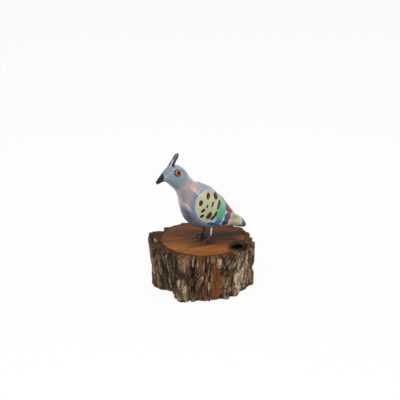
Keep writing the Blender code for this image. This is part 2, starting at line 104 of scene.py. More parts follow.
class Bench:
    """Steps at the modelling bench that several pieces share."""

    @staticmethod
    def clear() -> None:
        """Deselects everything."""
        bpy.ops.object.select_all(action="DESELECT")

    @staticmethod
    def take(piece: bpy.types.Object) -> None:
        """Selects one piece alone and makes it the active one."""
        Bench.clear()
        piece.select_set(True)
        bpy.context.view_layer.objects.active = piece

    @staticmethod
    @contextmanager
    def editing(piece: bpy.types.Object, parts: str) -> Iterator[None]:
        """Edit mode on one piece, with nothing selected at first.

        Args:
            piece: the object to edit.
            parts: VERT, EDGE or FACE.
        """
        Bench.take(piece)
        bpy.ops.object.mode_set(mode="EDIT")
        bpy.ops.mesh.select_mode(type=parts)
        bpy.ops.mesh.select_all(action="DESELECT")
        yield
        bpy.ops.object.mode_set(mode="OBJECT")

    @staticmethod
    def choose_edges(piece: bpy.types.Object, test: Callable[[bmesh.types.BMEdge], bool]) -> None:
        """Selects, in edit mode, the edges that pass a test and no others."""
        shape = bmesh.from_edit_mesh(piece.data)
        for edge in shape.edges:
            edge.select_set(test(edge))
        bmesh.update_edit_mesh(piece.data)

    @staticmethod
    def choose_faces(piece: bpy.types.Object, test: Callable[[bmesh.types.BMFace], bool]) -> None:
        """Selects, in edit mode, the faces that pass a test and no others."""
        shape = bmesh.from_edit_mesh(piece.data)
        for face in shape.faces:
            face.select_set(test(face))
        bmesh.update_edit_mesh(piece.data)

    @staticmethod
    def ringed_cylinder(name: str, sides: int, parts: tuple[int, ...],
                        ends: str = "TRIFAN") -> bpy.types.Object:
        """A cylinder of radius 1 from z 0 to 1, whose wall has evenly spaced rings.

        Args:
            name: the object's name.
            sides: vertices in each ring.
            parts: into how many parts the wall is divided, and then each of those again.
            ends: how the ends are filled.

        Returns:
            The new object.
        """
        bpy.ops.mesh.primitive_cylinder_add(vertices=sides, radius=1, depth=1, end_fill_type=ends)
        piece = bpy.context.object
        piece.name = name
        piece.data.name = name
        with Bench.editing(piece, "EDGE"):
            for count in parts:
                Bench.choose_edges(piece, lambda edge: abs(edge.verts[0].co.z - edge.verts[1].co.z) > 1e-4)
                bpy.ops.mesh.subdivide(number_cuts=count - 1)
            bpy.ops.mesh.select_all(action="SELECT")
            bpy.ops.transform.translate(value=(0, 0, 0.5))
        return piece

    @staticmethod
    def points(piece: bpy.types.Object) -> np.ndarray:
        """The piece's vertices as an array."""
        flat = np.empty(len(piece.data.vertices) * 3)
        piece.data.vertices.foreach_get("co", flat)
        return flat.reshape(-1, 3)

    @staticmethod
    def place_points(piece: bpy.types.Object, points: np.ndarray) -> None:
        """Moves the piece's vertices."""
        piece.data.vertices.foreach_set("co", points.ravel())
        piece.data.update()

    @staticmethod
    def add_attribute(piece: bpy.types.Object, name: str, values: np.ndarray) -> None:
        """Gives every vertex a number, or three, for the materials to read."""
        vector = values.ndim == 2
        kind = "FLOAT_VECTOR" if vector else "FLOAT"
        made = piece.data.attributes.new(name, kind, "POINT")
        made.data.foreach_set("vector" if vector else "value", values.ravel().astype(np.float32))

    @staticmethod
    def tidy(piece: bpy.types.Object, merge: float = 0.005 * MM) -> None:
        """Merges doubled vertices and turns all faces outwards."""
        with Bench.editing(piece, "VERT"):
            bpy.ops.mesh.select_all(action="SELECT")
            bpy.ops.mesh.remove_doubles(threshold=merge)
            bpy.ops.mesh.normals_make_consistent(inside=False)

    @staticmethod
    def apply_place(piece: bpy.types.Object) -> None:
        """Puts the object's place, turn and scale into its mesh."""
        Bench.take(piece)
        bpy.ops.object.transform_apply(location=True, rotation=True, scale=True)

    @staticmethod
    def combine(piece: bpy.types.Object, other: bpy.types.Object, operation: str) -> None:
        """Joins another closed piece to this one or cuts it away, and removes the other."""
        Bench.take(piece)
        modifier = piece.modifiers.new(operation.lower(), "BOOLEAN")
        modifier.operation = operation
        modifier.solver = "EXACT"
        modifier.object = other
        bpy.ops.object.modifier_apply(modifier=modifier.name)
        bpy.data.objects.remove(other)

    @staticmethod
    def join(pieces: list[bpy.types.Object]) -> bpy.types.Object:
        """Puts several closed pieces that touch into the first one's mesh, and keeps their materials."""
        Bench.take(pieces[0])
        for piece in pieces[1:]:
            piece.select_set(True)
        bpy.ops.object.join()
        return pieces[0]

    @staticmethod
    def smooth(piece: bpy.types.Object, degrees: float = 40.0) -> None:
        """Shades the piece smooth, with creases sharper than the given angle left sharp."""
        Bench.take(piece)
        bpy.ops.object.shade_smooth_by_angle(angle=math.radians(degrees), keep_sharp_edges=False)

    @staticmethod
    def wire(name: str, route: list[Vector], radii: list[float], sides: int = 5) -> bpy.types.Object:
        """A round wire along a smooth curve.

        Args:
            name: the object's name.
            route: the points that the wire's middle follows.
            radii: the wire's radius at each point.
            sides: the curve's bevel resolution.

        Returns:
            The wire as a closed mesh.
        """
        Bench.clear()
        bpy.ops.curve.primitive_nurbs_path_add()
        piece = bpy.context.object
        piece.name = name
        curve = piece.data
        curve.splines.clear()
        spline = curve.splines.new("POLY")
        spline.points.add(len(route) - 1)
        for point, place, radius in zip(spline.points, route, radii):
            point.co = (*place, 1.0)
            point.radius = radius / radii[0]
        curve.dimensions = "3D"
        curve.bevel_depth = radii[0]
        curve.bevel_resolution = sides
        curve.use_fill_caps = True
        bpy.ops.object.convert(target="MESH")
        piece = bpy.context.object
        Bench.tidy(piece)
        return piece

    @staticmethod
    def dress(piece: bpy.types.Object, finish: bpy.types.Material) -> None:
        """Gives the piece one material and no other."""
        piece.data.materials.clear()
        piece.data.materials.append(finish)

    @staticmethod
    def hand_over(piece: bpy.types.Object, slot: str, *nodes: str) -> None:
        """Gives a finished piece to the frame, in place of the CAD nodes that it stands for."""
        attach(piece, BODY)
        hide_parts(*nodes)
        LOG.info("%s: %d faces", piece.name, len(piece.data.polygons))


# Tools for node trees

class Graph:
    """Short calls that add nodes to one tree and join them."""

    def __init__(self, tree: bpy.types.NodeTree) -> None:
        """Keeps the tree that the calls add to."""
        self.tree = tree

    def feed(self, socket: bpy.types.NodeSocket, value: object) -> None:
        """Links a socket to an input, or sets the input's own value.

        Args:
            socket: the input to fill.
            value: an output socket, a number, a vector or a colour.
        """
        if isinstance(value, bpy.types.NodeSocket):
            self.tree.links.new(value, socket)
        elif socket.type == "RGBA" and len(value) == 3:
            socket.default_value = (*value, 1.0)
        else:
            socket.default_value = value

    def length(self, vector: object) -> object:
        """The length of a vector."""
        return self.add("VectorMath", {0: vector}, operation="LENGTH").outputs["Value"]

    def uneven(self, place: object, scale: float, detail: float = 3.0, roughness: float = 0.6) -> object:
        """Noise around 0, which makes the edge of a field of colour uneven."""
        return self.minus(self.noise(place, scale, detail, roughness), 0.5)

    def add(self, kind: str, inputs: dict | None = None, **settings: object) -> bpy.types.Node:
        """Adds one node.

        Args:
            kind: the node's type name, without its ShaderNode prefix.
            inputs: input names or indices, with the value or socket for each.
            **settings: properties of the node itself.

        Returns:
            The new node.
        """
        node = self.tree.nodes.new(f"ShaderNode{kind}")
        for name, value in settings.items():
            setattr(node, name, value)
        for name, value in (inputs or {}).items():
            self.feed(node.inputs[name], value)
        return node

    def math(self, operation: str, first: object, second: object = 0.0, clamp: bool = False) -> object:
        """The output of one Math node."""
        return self.add("Math", {0: first, 1: second}, operation=operation, use_clamp=clamp).outputs[0]

    def plus(self, first: object, second: object) -> object:
        """The sum of two values."""
        return self.math("ADD", first, second)

    def minus(self, first: object, second: object) -> object:
        """The first value less the second."""
        return self.math("SUBTRACT", first, second)

    def times(self, first: object, second: object) -> object:
        """The product of two values."""
        return self.math("MULTIPLY", first, second)

    def vector(self, operation: str, first: object, second: object = (0.0, 0.0, 0.0)) -> object:
        """The vector output of one Vector Math node."""
        return self.add("VectorMath", {0: first, 1: second}, operation=operation).outputs[0]

    def scaled(self, first: object, scale: object) -> object:
        """A vector times a number."""
        return self.add("VectorMath", {0: first, "Scale": scale}, operation="SCALE").outputs[0]

    def mix(self, factor: object, first: object, second: object, blend: str = "MIX") -> object:
        """The colour output of one Mix node."""
        node = self.add("Mix", data_type="RGBA", blend_type=blend, clamp_factor=True)
        for index, value in ((0, factor), (6, first), (7, second)):
            self.feed(node.inputs[index], value)
        return node.outputs[2]

    def remap(self, value: object, low: object, high: object, to_low: float = 0.0,
              to_high: float = 1.0) -> object:
        """A value moved smoothly from one range to another, and held at its ends."""
        inputs = dict(enumerate((value, low, high, to_low, to_high)))
        return self.add("MapRange", inputs, interpolation_type="SMOOTHSTEP").outputs[0]

    def noise(self, place: object, scale: float, detail: float = 3.0, roughness: float = 0.55) -> object:
        """The value output of one Noise Texture."""
        inputs = {"Vector": place, "Scale": scale, "Detail": detail, "Roughness": roughness}
        return self.add("TexNoise", inputs).outputs[0]

    def stretched(self, place: object, scale: tuple, turn: tuple = (0.0, 0.0, 0.0)) -> object:
        """A place turned, then scaled by its own amount on each axis."""
        turned = self.add("Mapping", {"Vector": place, "Rotation": turn}, vector_type="POINT")
        return self.vector("MULTIPLY", turned.outputs[0], scale)

    def grain(self, place: object, scale: tuple, detail: float, roughness: float) -> object:
        """Noise drawn out by its own amount on each axis."""
        return self.noise(self.stretched(place, scale), 1.0, detail, roughness)

    def ramp(self, value: object, stops: tuple) -> object:
        """A colour ramp through pairs of position and colour, from low to high."""
        node = self.add("ValToRGB", {"Fac": value})
        elements = node.color_ramp.elements
        while len(elements) < len(stops):
            elements.new(1.0)
        for element, (position, colour) in zip(elements, stops):
            element.position = position
            element.color = (*colour, 1.0)
        return node.outputs["Color"]

    def attribute(self, name: str, output: str = "Fac") -> object:
        """The value of one of the mesh's own attributes."""
        return self.add("Attribute", attribute_name=name).outputs[output]

    def place_mm(self) -> object:
        """Object coordinates in millimetres."""
        return self.scaled(self.add("TexCoord").outputs["Object"], 1000.0)

    def group(self, tree: bpy.types.NodeTree, inputs: dict) -> bpy.types.NodeOutputs:
        """The outputs of a node group placed with its inputs."""
        node = self.add("Group")
        node.node_tree = tree
        for name, value in inputs.items():
            self.feed(node.inputs[name], value)
        return node.outputs

    def bump(self, height: object, distance: float, strength: float = 1.0) -> object:
        """The normal of one Bump node."""
        return self.add("Bump", {"Height": height, "Distance": distance, "Strength": strength}).outputs[0]


def new_group(name: str, inputs: dict, outputs: tuple) -> tuple[bpy.types.NodeTree, Graph, dict, dict]:
    """Starts a shader node group.

    Args:
        name: the group's name.
        inputs: the default of each input: a number, or None for a vector.
        outputs: the names of the outputs, all numbers.

    Returns:
        The group, a graph on it, its input sockets by name, and the sockets of its output node.
    """
    tree = bpy.data.node_groups.new(name, "ShaderNodeTree")
    for key, default in inputs.items():
        kind = "NodeSocketVector" if default is None else "NodeSocketFloat"
        socket = tree.interface.new_socket(name=key, in_out="INPUT", socket_type=kind)
        if default is not None:
            socket.default_value = default
    for key in outputs:
        tree.interface.new_socket(name=key, in_out="OUTPUT", socket_type="NodeSocketFloat")
    start = tree.nodes.new("NodeGroupInput")
    end = tree.nodes.new("NodeGroupOutput")
    given = {key: start.outputs[key] for key in inputs}
    result = {key: end.inputs[key] for key in outputs}
    return tree, Graph(tree), given, result


def new_material(name: str) -> tuple[bpy.types.Material, Graph, bpy.types.Node]:
    """An empty material with its graph and its Principled shader."""
    made = bpy.data.materials.new(name)
    made.use_nodes = True
    return made, Graph(made.node_tree), made.node_tree.nodes["Principled BSDF"]


class Effects:
    """Shader node groups that more than one finish, or one finish many times, uses."""

    def __init__(self) -> None:
        """Builds each group once."""
        self.dab = self._dab()
        self.grime = self._grime()
        self.strokes = self._strokes()

    def oval(self, graph: Graph, place: object, uneven: object, middle: tuple, half_sizes: tuple, turn: float,
             softness: float, wobble: float, squareness: float = 2.0) -> object:
        """The mask of one oval with an uneven edge.

        Args:
            graph: the tree that uses it.
            place: coordinates in millimetres, of which X and Z are read.
            uneven: noise around 0.
            middle: X and Z of its middle.
            half_sizes: half its length and half its width.
            turn: how far its length is turned from X, in degrees.
            softness: how wide its edge is, as a share of its size.
            wobble: how far the noise moves its edge.
            squareness: 2 for an ellipse, more for a squarer form.

        Returns:
            1 inside and 0 outside.
        """
        return graph.group(self.dab, {
            "Place": place, "Uneven": uneven, "X": middle[0], "Z": middle[1], "Turn": math.radians(turn),
            "Half length": half_sizes[0], "Half width": half_sizes[1], "Squareness": squareness,
            "Softness": softness, "Wobble": wobble,
        })["Mask"]

    @staticmethod
    def _dab() -> bpy.types.NodeTree:
        """An oval with an uneven edge, on the X and Z of its place."""
        tree, graph, given, result = new_group(
            "Paint dab",
            {"Place": None, "Uneven": 0.0, "X": 0.0, "Z": 0.0, "Turn": 0.0, "Half length": 1.0,
             "Half width": 1.0, "Squareness": 2.0, "Softness": 0.1, "Wobble": 0.2},
            ("Mask",),
        )
        parts = graph.add("SeparateXYZ", {0: given["Place"]}).outputs
        across = graph.minus(parts["X"], given["X"])
        above = graph.minus(parts["Z"], given["Z"])
        cosine = graph.math("COSINE", given["Turn"])
        sine = graph.math("SINE", given["Turn"])
        along = graph.plus(graph.times(across, cosine), graph.times(above, sine))
        aside = graph.minus(graph.times(above, cosine), graph.times(across, sine))
        terms = []
        for value, half in ((along, "Half length"), (aside, "Half width")):
            share = graph.math("ABSOLUTE", graph.math("DIVIDE", value, given[half]))
            terms.append(graph.math("POWER", share, given["Squareness"]))
        root = graph.math("DIVIDE", 1.0, given["Squareness"])
        distance = graph.math("POWER", graph.plus(*terms), root)
        distance = graph.plus(distance, graph.times(given["Uneven"], given["Wobble"]))
        outer = graph.plus(1.0, given["Softness"])
        inner = graph.minus(1.0, given["Softness"])
        graph.feed(result["Mask"], graph.remap(distance, outer, inner))
        return tree

    @staticmethod
    def _grime() -> bpy.types.NodeTree:
        """Dust and handling marks: a patchy mask between 0 and 1."""
        tree, graph, given, result = new_group(
            "Fine grime", {"Place": None, "Scale": 1.0, "Amount": 0.5}, ("Mask",))
        place = graph.scaled(given["Place"], given["Scale"])
        broad = graph.remap(graph.noise(place, 0.12, 4.0, 0.65), 0.42, 0.68)
        fine = graph.remap(graph.noise(place, 1.7, 3.0, 0.6), 0.35, 0.75)
        mixed = graph.times(broad, fine)
        graph.feed(result["Mask"], graph.math("MULTIPLY", mixed, given["Amount"], clamp=True))
        return tree

    @staticmethod
    def _strokes() -> bpy.types.NodeTree:
        """Long fine lines, as a brush or a saw leaves them: a height and a tone."""
        tree, graph, given, result = new_group(
            "Fine strokes", {"Place": None, "Scale": 1.0}, ("Height", "Tone"))
        place = graph.scaled(given["Place"], given["Scale"])
        fine = graph.noise(place, 1.0, 4.0, 0.6)
        broad = graph.noise(place, 0.23, 3.0, 0.6)
        graph.feed(result["Height"], graph.plus(fine, graph.times(broad, 0.6)))
        graph.feed(result["Tone"], graph.remap(broad, 0.3, 0.7))
        return tree


# Finishes

@dataclass(frozen=True)
class Dab:
    """One field of paint on the bird, in millimetres, with heights above the belly."""

    colour: Colour
    x: float
    height: float
    half_length: float
    half_width: float
    turn: float = 0.0
    softness: float = 0.07
    wobble: float = 0.22
    squareness: float = 2.0
    strength: float = 1.0


BLACK = paint(24, 22, 24)

# From the undercoat up, each painted over the last; among them are painted highlights and a painted
# reflection of the glaze
PLUMAGE_AND_PAINTED_LIGHT = (
    # Neck and breast
    Dab(paint(174, 158, 160), -15.0, 34.0, 14.0, 9.0, 65.0, 0.3, 0.45),
    Dab(paint(134, 130, 136), -18.3, 30.0, 5.0, 3.0, 75.0, 0.6, 0.9, strength=0.75),
    Dab(paint(140, 136, 146), -12.5, 30.0, 7.0, 3.0, 68.0, 0.6, 0.9, strength=0.5),
    Dab(paint(210, 174, 168), -8.5, 36.6, 6.0, 3.4, -48.0, 0.45, 0.6),
    Dab(paint(198, 172, 168), -20.6, 26.5, 6.0, 1.8, 103.0, 0.5, 0.6),
    Dab(paint(204, 184, 180), -12.8, 44.5, 5.0, 1.4, -52.0, 0.6, 0.6, strength=0.6),
    # Head
    Dab(paint(130, 146, 160), -25.5, 46.5, 16.0, 9.0, 51.0, 0.2, 0.3, 2.6),
    Dab(paint(100, 116, 128), -26.0, 40.5, 6.5, 2.4, -38.0, 0.6, 0.7, strength=0.6),
    Dab(paint(158, 174, 190), -20.5, 54.5, 6.0, 2.6, -20.0, 0.6, 0.7, strength=0.5),
    Dab(paint(176, 190, 198), -31.6, 47.0, 2.4, 0.8, 38.0, 0.6, 1.6, strength=0.5),
    # Belly
    Dab(paint(106, 110, 122), -4.0, 3.0, 18.0, 7.5, 0.0, 0.55, 0.5),
    Dab(paint(92, 100, 112), -15.0, 15.5, 6.4, 3.0, -55.0, 0.6, 0.6),
    # Painted reflection: a thin dark line on the lower breast, as the glaze reflects it
    Dab(paint(62, 68, 80), -14.6, 15.0, 5.0, 0.8, -52.0, 0.5, 0.9, strength=0.7),
    Dab(paint(200, 182, 172), -14.8, 22.0, 3.6, 1.1, -60.0, 0.4, 0.6),
    # Round the wing
    Dab(paint(116, 131, 150), 2.0, 20.5, 16.5, 14.5, -42.0, 0.14, 0.25),
    Dab(paint(156, 172, 192), 1.5, 34.2, 8.0, 2.6, -20.0, 0.5, 0.6, strength=0.85),
    Dab(paint(200, 204, 204), 2.0, 20.5, 13.9, 11.9, -42.0, 0.05, 0.12),
    Dab(paint(190, 187, 145), 2.0, 20.5, 13.2, 11.3, -42.0, 0.045, 0.1, 2.2),
    Dab(paint(176, 176, 128), 1.0, 16.0, 7.0, 5.0, -30.0, 0.6, 0.9, strength=0.5),
    # Painted highlights where the glaze shines: a pale strip along the back's ridge, then two white strokes
    # on the wing's shoulder
    Dab(paint(214, 216, 210), 12.0, 28.2, 8.0, 0.9, -45.0, 0.35, 0.4),
    Dab(paint(222, 222, 214), -7.6, 32.2, 2.6, 0.36, -60.0, 0.3, 0.3),
    Dab(paint(214, 216, 210), -6.1, 32.9, 1.8, 0.26, -62.0, 0.3, 0.3),
    # The coloured feathers on their white ground
    Dab(paint(218, 218, 212), 16.6, 11.2, 8.8, 7.8, -20.0, 0.08, 0.18, 2.4),
    Dab(paint(206, 205, 180), 5.0, 7.9, 6.8, 2.1, -14.0, 0.2, 0.2),
    Dab(paint(88, 174, 138), 11.2, 15.6, 7.6, 3.9, 60.0, 0.06, 0.14, 3.0),
    Dab(paint(144, 200, 166), 14.0, 20.6, 2.6, 2.2, 60.0, 0.6, 0.7, strength=0.7),
    Dab(paint(70, 148, 116), 9.4, 12.4, 4.4, 1.6, 56.0, 0.6, 0.9, strength=0.6),
    Dab(paint(34, 92, 150), 3.9, 6.9, 6.0, 1.5, -20.0, 0.12, 0.25),
    Dab(paint(62, 124, 178), 8.0, 8.4, 3.4, 2.4, 10.0, 0.1, 0.25),
    Dab(paint(146, 56, 66), 20.9, 14.3, 6.2, 3.9, -48.0, 0.07, 0.2, 2.4),
    # Tail
    Dab(paint(192, 184, 148), 23.2, 5.6, 7.6, 5.2, -22.0, 0.07, 0.2, 2.6),
    Dab(paint(152, 147, 110), 24.2, 7.6, 4.7, 1.4, -20.0, 0.5, 0.8, strength=0.85),
    Dab(paint(214, 210, 192), 15.7, 8.0, 5.5, 3.4, 68.0, 0.12, 0.25, 2.4),
    Dab(paint(78, 72, 120), 16.5, 10.2, 3.1, 3.1, 70.0, 0.08, 0.25),
    Dab(paint(70, 63, 108), 14.4, 6.0, 3.0, 3.0, 48.0, 0.08, 0.25),
    Dab(paint(216, 217, 206), 34.6, 0.8, 5.4, 6.7, 0.0, 0.12, 0.35),
    Dab(paint(132, 136, 132), 34.9, 0.8, 4.7, 5.6, 0.0, 0.14, 0.45),
    Dab(paint(62, 64, 68), 34.9, -0.8, 4.8, 2.7, -50.0, 0.3, 0.5),
    Dab(paint(42, 36, 34), 29.5, -3.2, 10.0, 2.3, -12.0, 0.15, 0.3),
    # Beak and crest
    Dab(BLACK, -40.6, 46.5, 8.2, 9.6, -12.0, 0.025, 0.05),
    Dab(paint(40, 34, 36), -22.0, 61.0, 7.9, 3.2, 60.0, 0.05, 0.15, 3.4),
    # Painted highlight: a streak up the middle of the crest, white at its root and grey higher up
    Dab(paint(220, 224, 228), -25.2, 56.5, 3.6, 0.5, 60.0, 0.25, 0.3),
    Dab(paint(132, 132, 138), -21.9, 61.4, 2.8, 0.6, 60.0, 0.35, 0.5),
)

# The dark marks on the wing: x, height, half length, half width and turn
WING_SPOTS = (
    (0.6, 29.3, 2.4, 1.5, 57.0),
    (7.7, 27.6, 2.3, 1.9, 86.0),
    (-6.3, 25.6, 2.2, 1.5, 55.0),
    (3.5, 23.1, 2.2, 0.95, 55.0),
    (-1.5, 22.5, 1.5, 0.75, 58.0),
    (-5.2, 19.8, 1.95, 1.2, 37.0),
    (-6.0, 15.4, 1.85, 1.2, 37.0),
    (-0.4, 15.1, 3.15, 1.85, 50.0),
    (2.4, 12.6, 1.9, 1.3, 37.0),
    (9.0, 21.2, 3.5, 1.2, 57.0),
    (4.9, 14.6, 3.5, 1.15, 53.0),
)


@dataclass(frozen=True)
class PaintedClay:
    """Hand-painted clay under a clear glaze, with the bird's plumage on it and a few painted highlights and a
    painted reflection.
    """

    undercoat: Colour = paint(132, 146, 166)
    undercoat_thin: Colour = paint(114, 128, 150)
    dirt: Colour = paint(70, 66, 62)
    roughness: float = 0.2
    bump_depth: float = 0.12 * MM

    def material(self, effects: Effects) -> bpy.types.Material:
        """Builds the material.

        Args:
            effects: the shared shader groups.

        Returns:
            The new material.
        """
        made, graph, shader = new_material("painted_clay")
        place = graph.place_mm()
        along_feathers = graph.stretched(place, (0.35, 1.0, 1.6), (0.0, math.radians(-38.0), 0.0))
        strokes = graph.group(effects.strokes, {"Place": along_feathers, "Scale": 0.9})
        colour = graph.mix(strokes["Tone"], self.undercoat, self.undercoat_thin)
        uneven = graph.uneven(place, 0.45)
        aside = graph.add("SeparateXYZ", {0: place}).outputs["Y"]
        aside = graph.math("ABSOLUTE", graph.minus(aside, BIRD_Y / MM))
        on_wing = graph.remap(aside, 2.5, 3.3)
        spots = tuple(Dab(BLACK, *spot, 0.12, 0.5, 2.3) for spot in WING_SPOTS)
        for dab in PLUMAGE_AND_PAINTED_LIGHT + spots:
            mask = effects.oval(
                graph, place, uneven, (dab.x, BELLY_Z / MM + dab.height), (dab.half_length, dab.half_width),
                dab.turn, dab.softness, dab.wobble, dab.squareness)
            if dab.strength < 1.0:
                mask = graph.times(mask, dab.strength)
            if dab in spots:
                mask = graph.times(mask, on_wing)
            colour = graph.mix(mask, colour, dab.colour)
        worn = graph.remap(strokes["Height"], 0.5, 1.1, 0.88, 1.08)
        mottled = graph.remap(graph.noise(place, 0.8, 4.0, 0.65), 0.35, 0.65, 0.9, 1.08)
        worn = graph.times(worn, mottled)
        colour = graph.scaled(colour, worn)
        grime = graph.group(effects.grime, {"Place": place, "Scale": 1.3, "Amount": 0.3})["Mask"]
        graph.feed(shader.inputs["Base Color"], graph.mix(grime, colour, self.dirt))
        rough = graph.plus(self.roughness, graph.times(grime, 0.4))
        graph.feed(shader.inputs["Roughness"], rough)
        relief = graph.plus(graph.noise(place, 0.3, 2.0, 0.5), graph.times(strokes["Height"], 0.12))
        graph.feed(shader.inputs["Normal"], graph.bump(relief, self.bump_depth))
        shader.inputs["Specular IOR Level"].default_value = 0.15
        shader.inputs["Coat Weight"].default_value = 0.3
        shader.inputs["Coat Roughness"].default_value = 0.04
        return made


@dataclass(frozen=True)
class Bark:
    """Rough furrowed bark with flaking plates, and bare inner bark where a strip has come away."""

    furrow: Colour = paint(27, 21, 16)
    shade: Colour = paint(72, 57, 43)
    brown: Colour = paint(114, 90, 64)
    beige: Colour = paint(158, 134, 102)
    pale: Colour = paint(208, 194, 166)
    inner: Colour = paint(142, 84, 42)
    inner_dark: Colour = paint(84, 50, 28)
    warm: Colour = paint(138, 86, 46)
    tone_base: float = -0.75
    bump_depth: float = 0.6 * MM

    def material(self, effects: Effects) -> bpy.types.Material:
        """Builds the material from the relief that the mesh keeps in its attributes."""
        made, graph, shader = new_material("rough_bark")
        place = graph.place_mm()
        upright = graph.stretched(place, (1.3, 1.3, 0.22))
        strokes = graph.group(effects.strokes, {"Place": upright, "Scale": 1.0})
        flecks = graph.grain(place, (2.1, 2.1, 0.42), 4.0, 0.7)
        ridge, furrow, bare = (graph.attribute(name) for name in ("ridge", "furrow", "bare"))
        plate, warmth = graph.attribute("plate"), graph.attribute("warmth")
        patches = graph.noise(graph.stretched(place, (1.0, 1.0, 0.5)), 0.11, 3.0, 0.6)
        tone = self.tone_base
        parts = ((ridge, 0.5), (patches, 0.4), (strokes["Height"], 0.35), (flecks, 1.15), (plate, 0.17))
        for value, share in parts:
            tone = graph.plus(graph.times(value, share), tone)
        colour = graph.ramp(tone, (
            (0.06, self.furrow), (0.24, self.shade), (0.42, self.brown), (0.6, self.beige),
            (0.82, self.pale)))
        patchy = graph.remap(graph.noise(place, 0.16, 3.0, 0.6), 0.5, 0.62, 0.0, 0.4)
        warm = graph.math("MAXIMUM", patchy, graph.times(warmth, 0.75))
        lit = graph.mix(graph.remap(flecks, 0.36, 0.62), self.inner_dark, self.warm)
        colour = graph.mix(warm, colour, lit)
        streaks = graph.remap(graph.grain(place, (0.8, 0.8, 0.09), 3.0, 0.6), 0.4, 0.62)
        inner = graph.mix(streaks, self.inner, self.inner_dark)
        stripped = graph.times(graph.remap(bare, 0.3, 0.6), graph.remap(plate, 0.7, 0.3))
        colour = graph.mix(stripped, colour, inner)
        # Painted shade: the furrows and the cracks round the plates are darkened, less where the inner bark
        # is bare
        furrow_shade = graph.times(graph.remap(furrow, 0.3, 0.95), graph.remap(stripped, 0.0, 1.0, 0.88, 0.35))
        colour = graph.mix(furrow_shade, colour, self.furrow)
        graph.feed(shader.inputs["Base Color"], colour)
        graph.feed(shader.inputs["Roughness"], graph.remap(strokes["Height"], 0.3, 1.0, 0.95, 0.7))
        height = graph.plus(strokes["Height"], flecks)
        graph.feed(shader.inputs["Normal"], graph.bump(height, self.bump_depth, 0.8))
        shader.inputs["Specular IOR Level"].default_value = 0.2
        return made


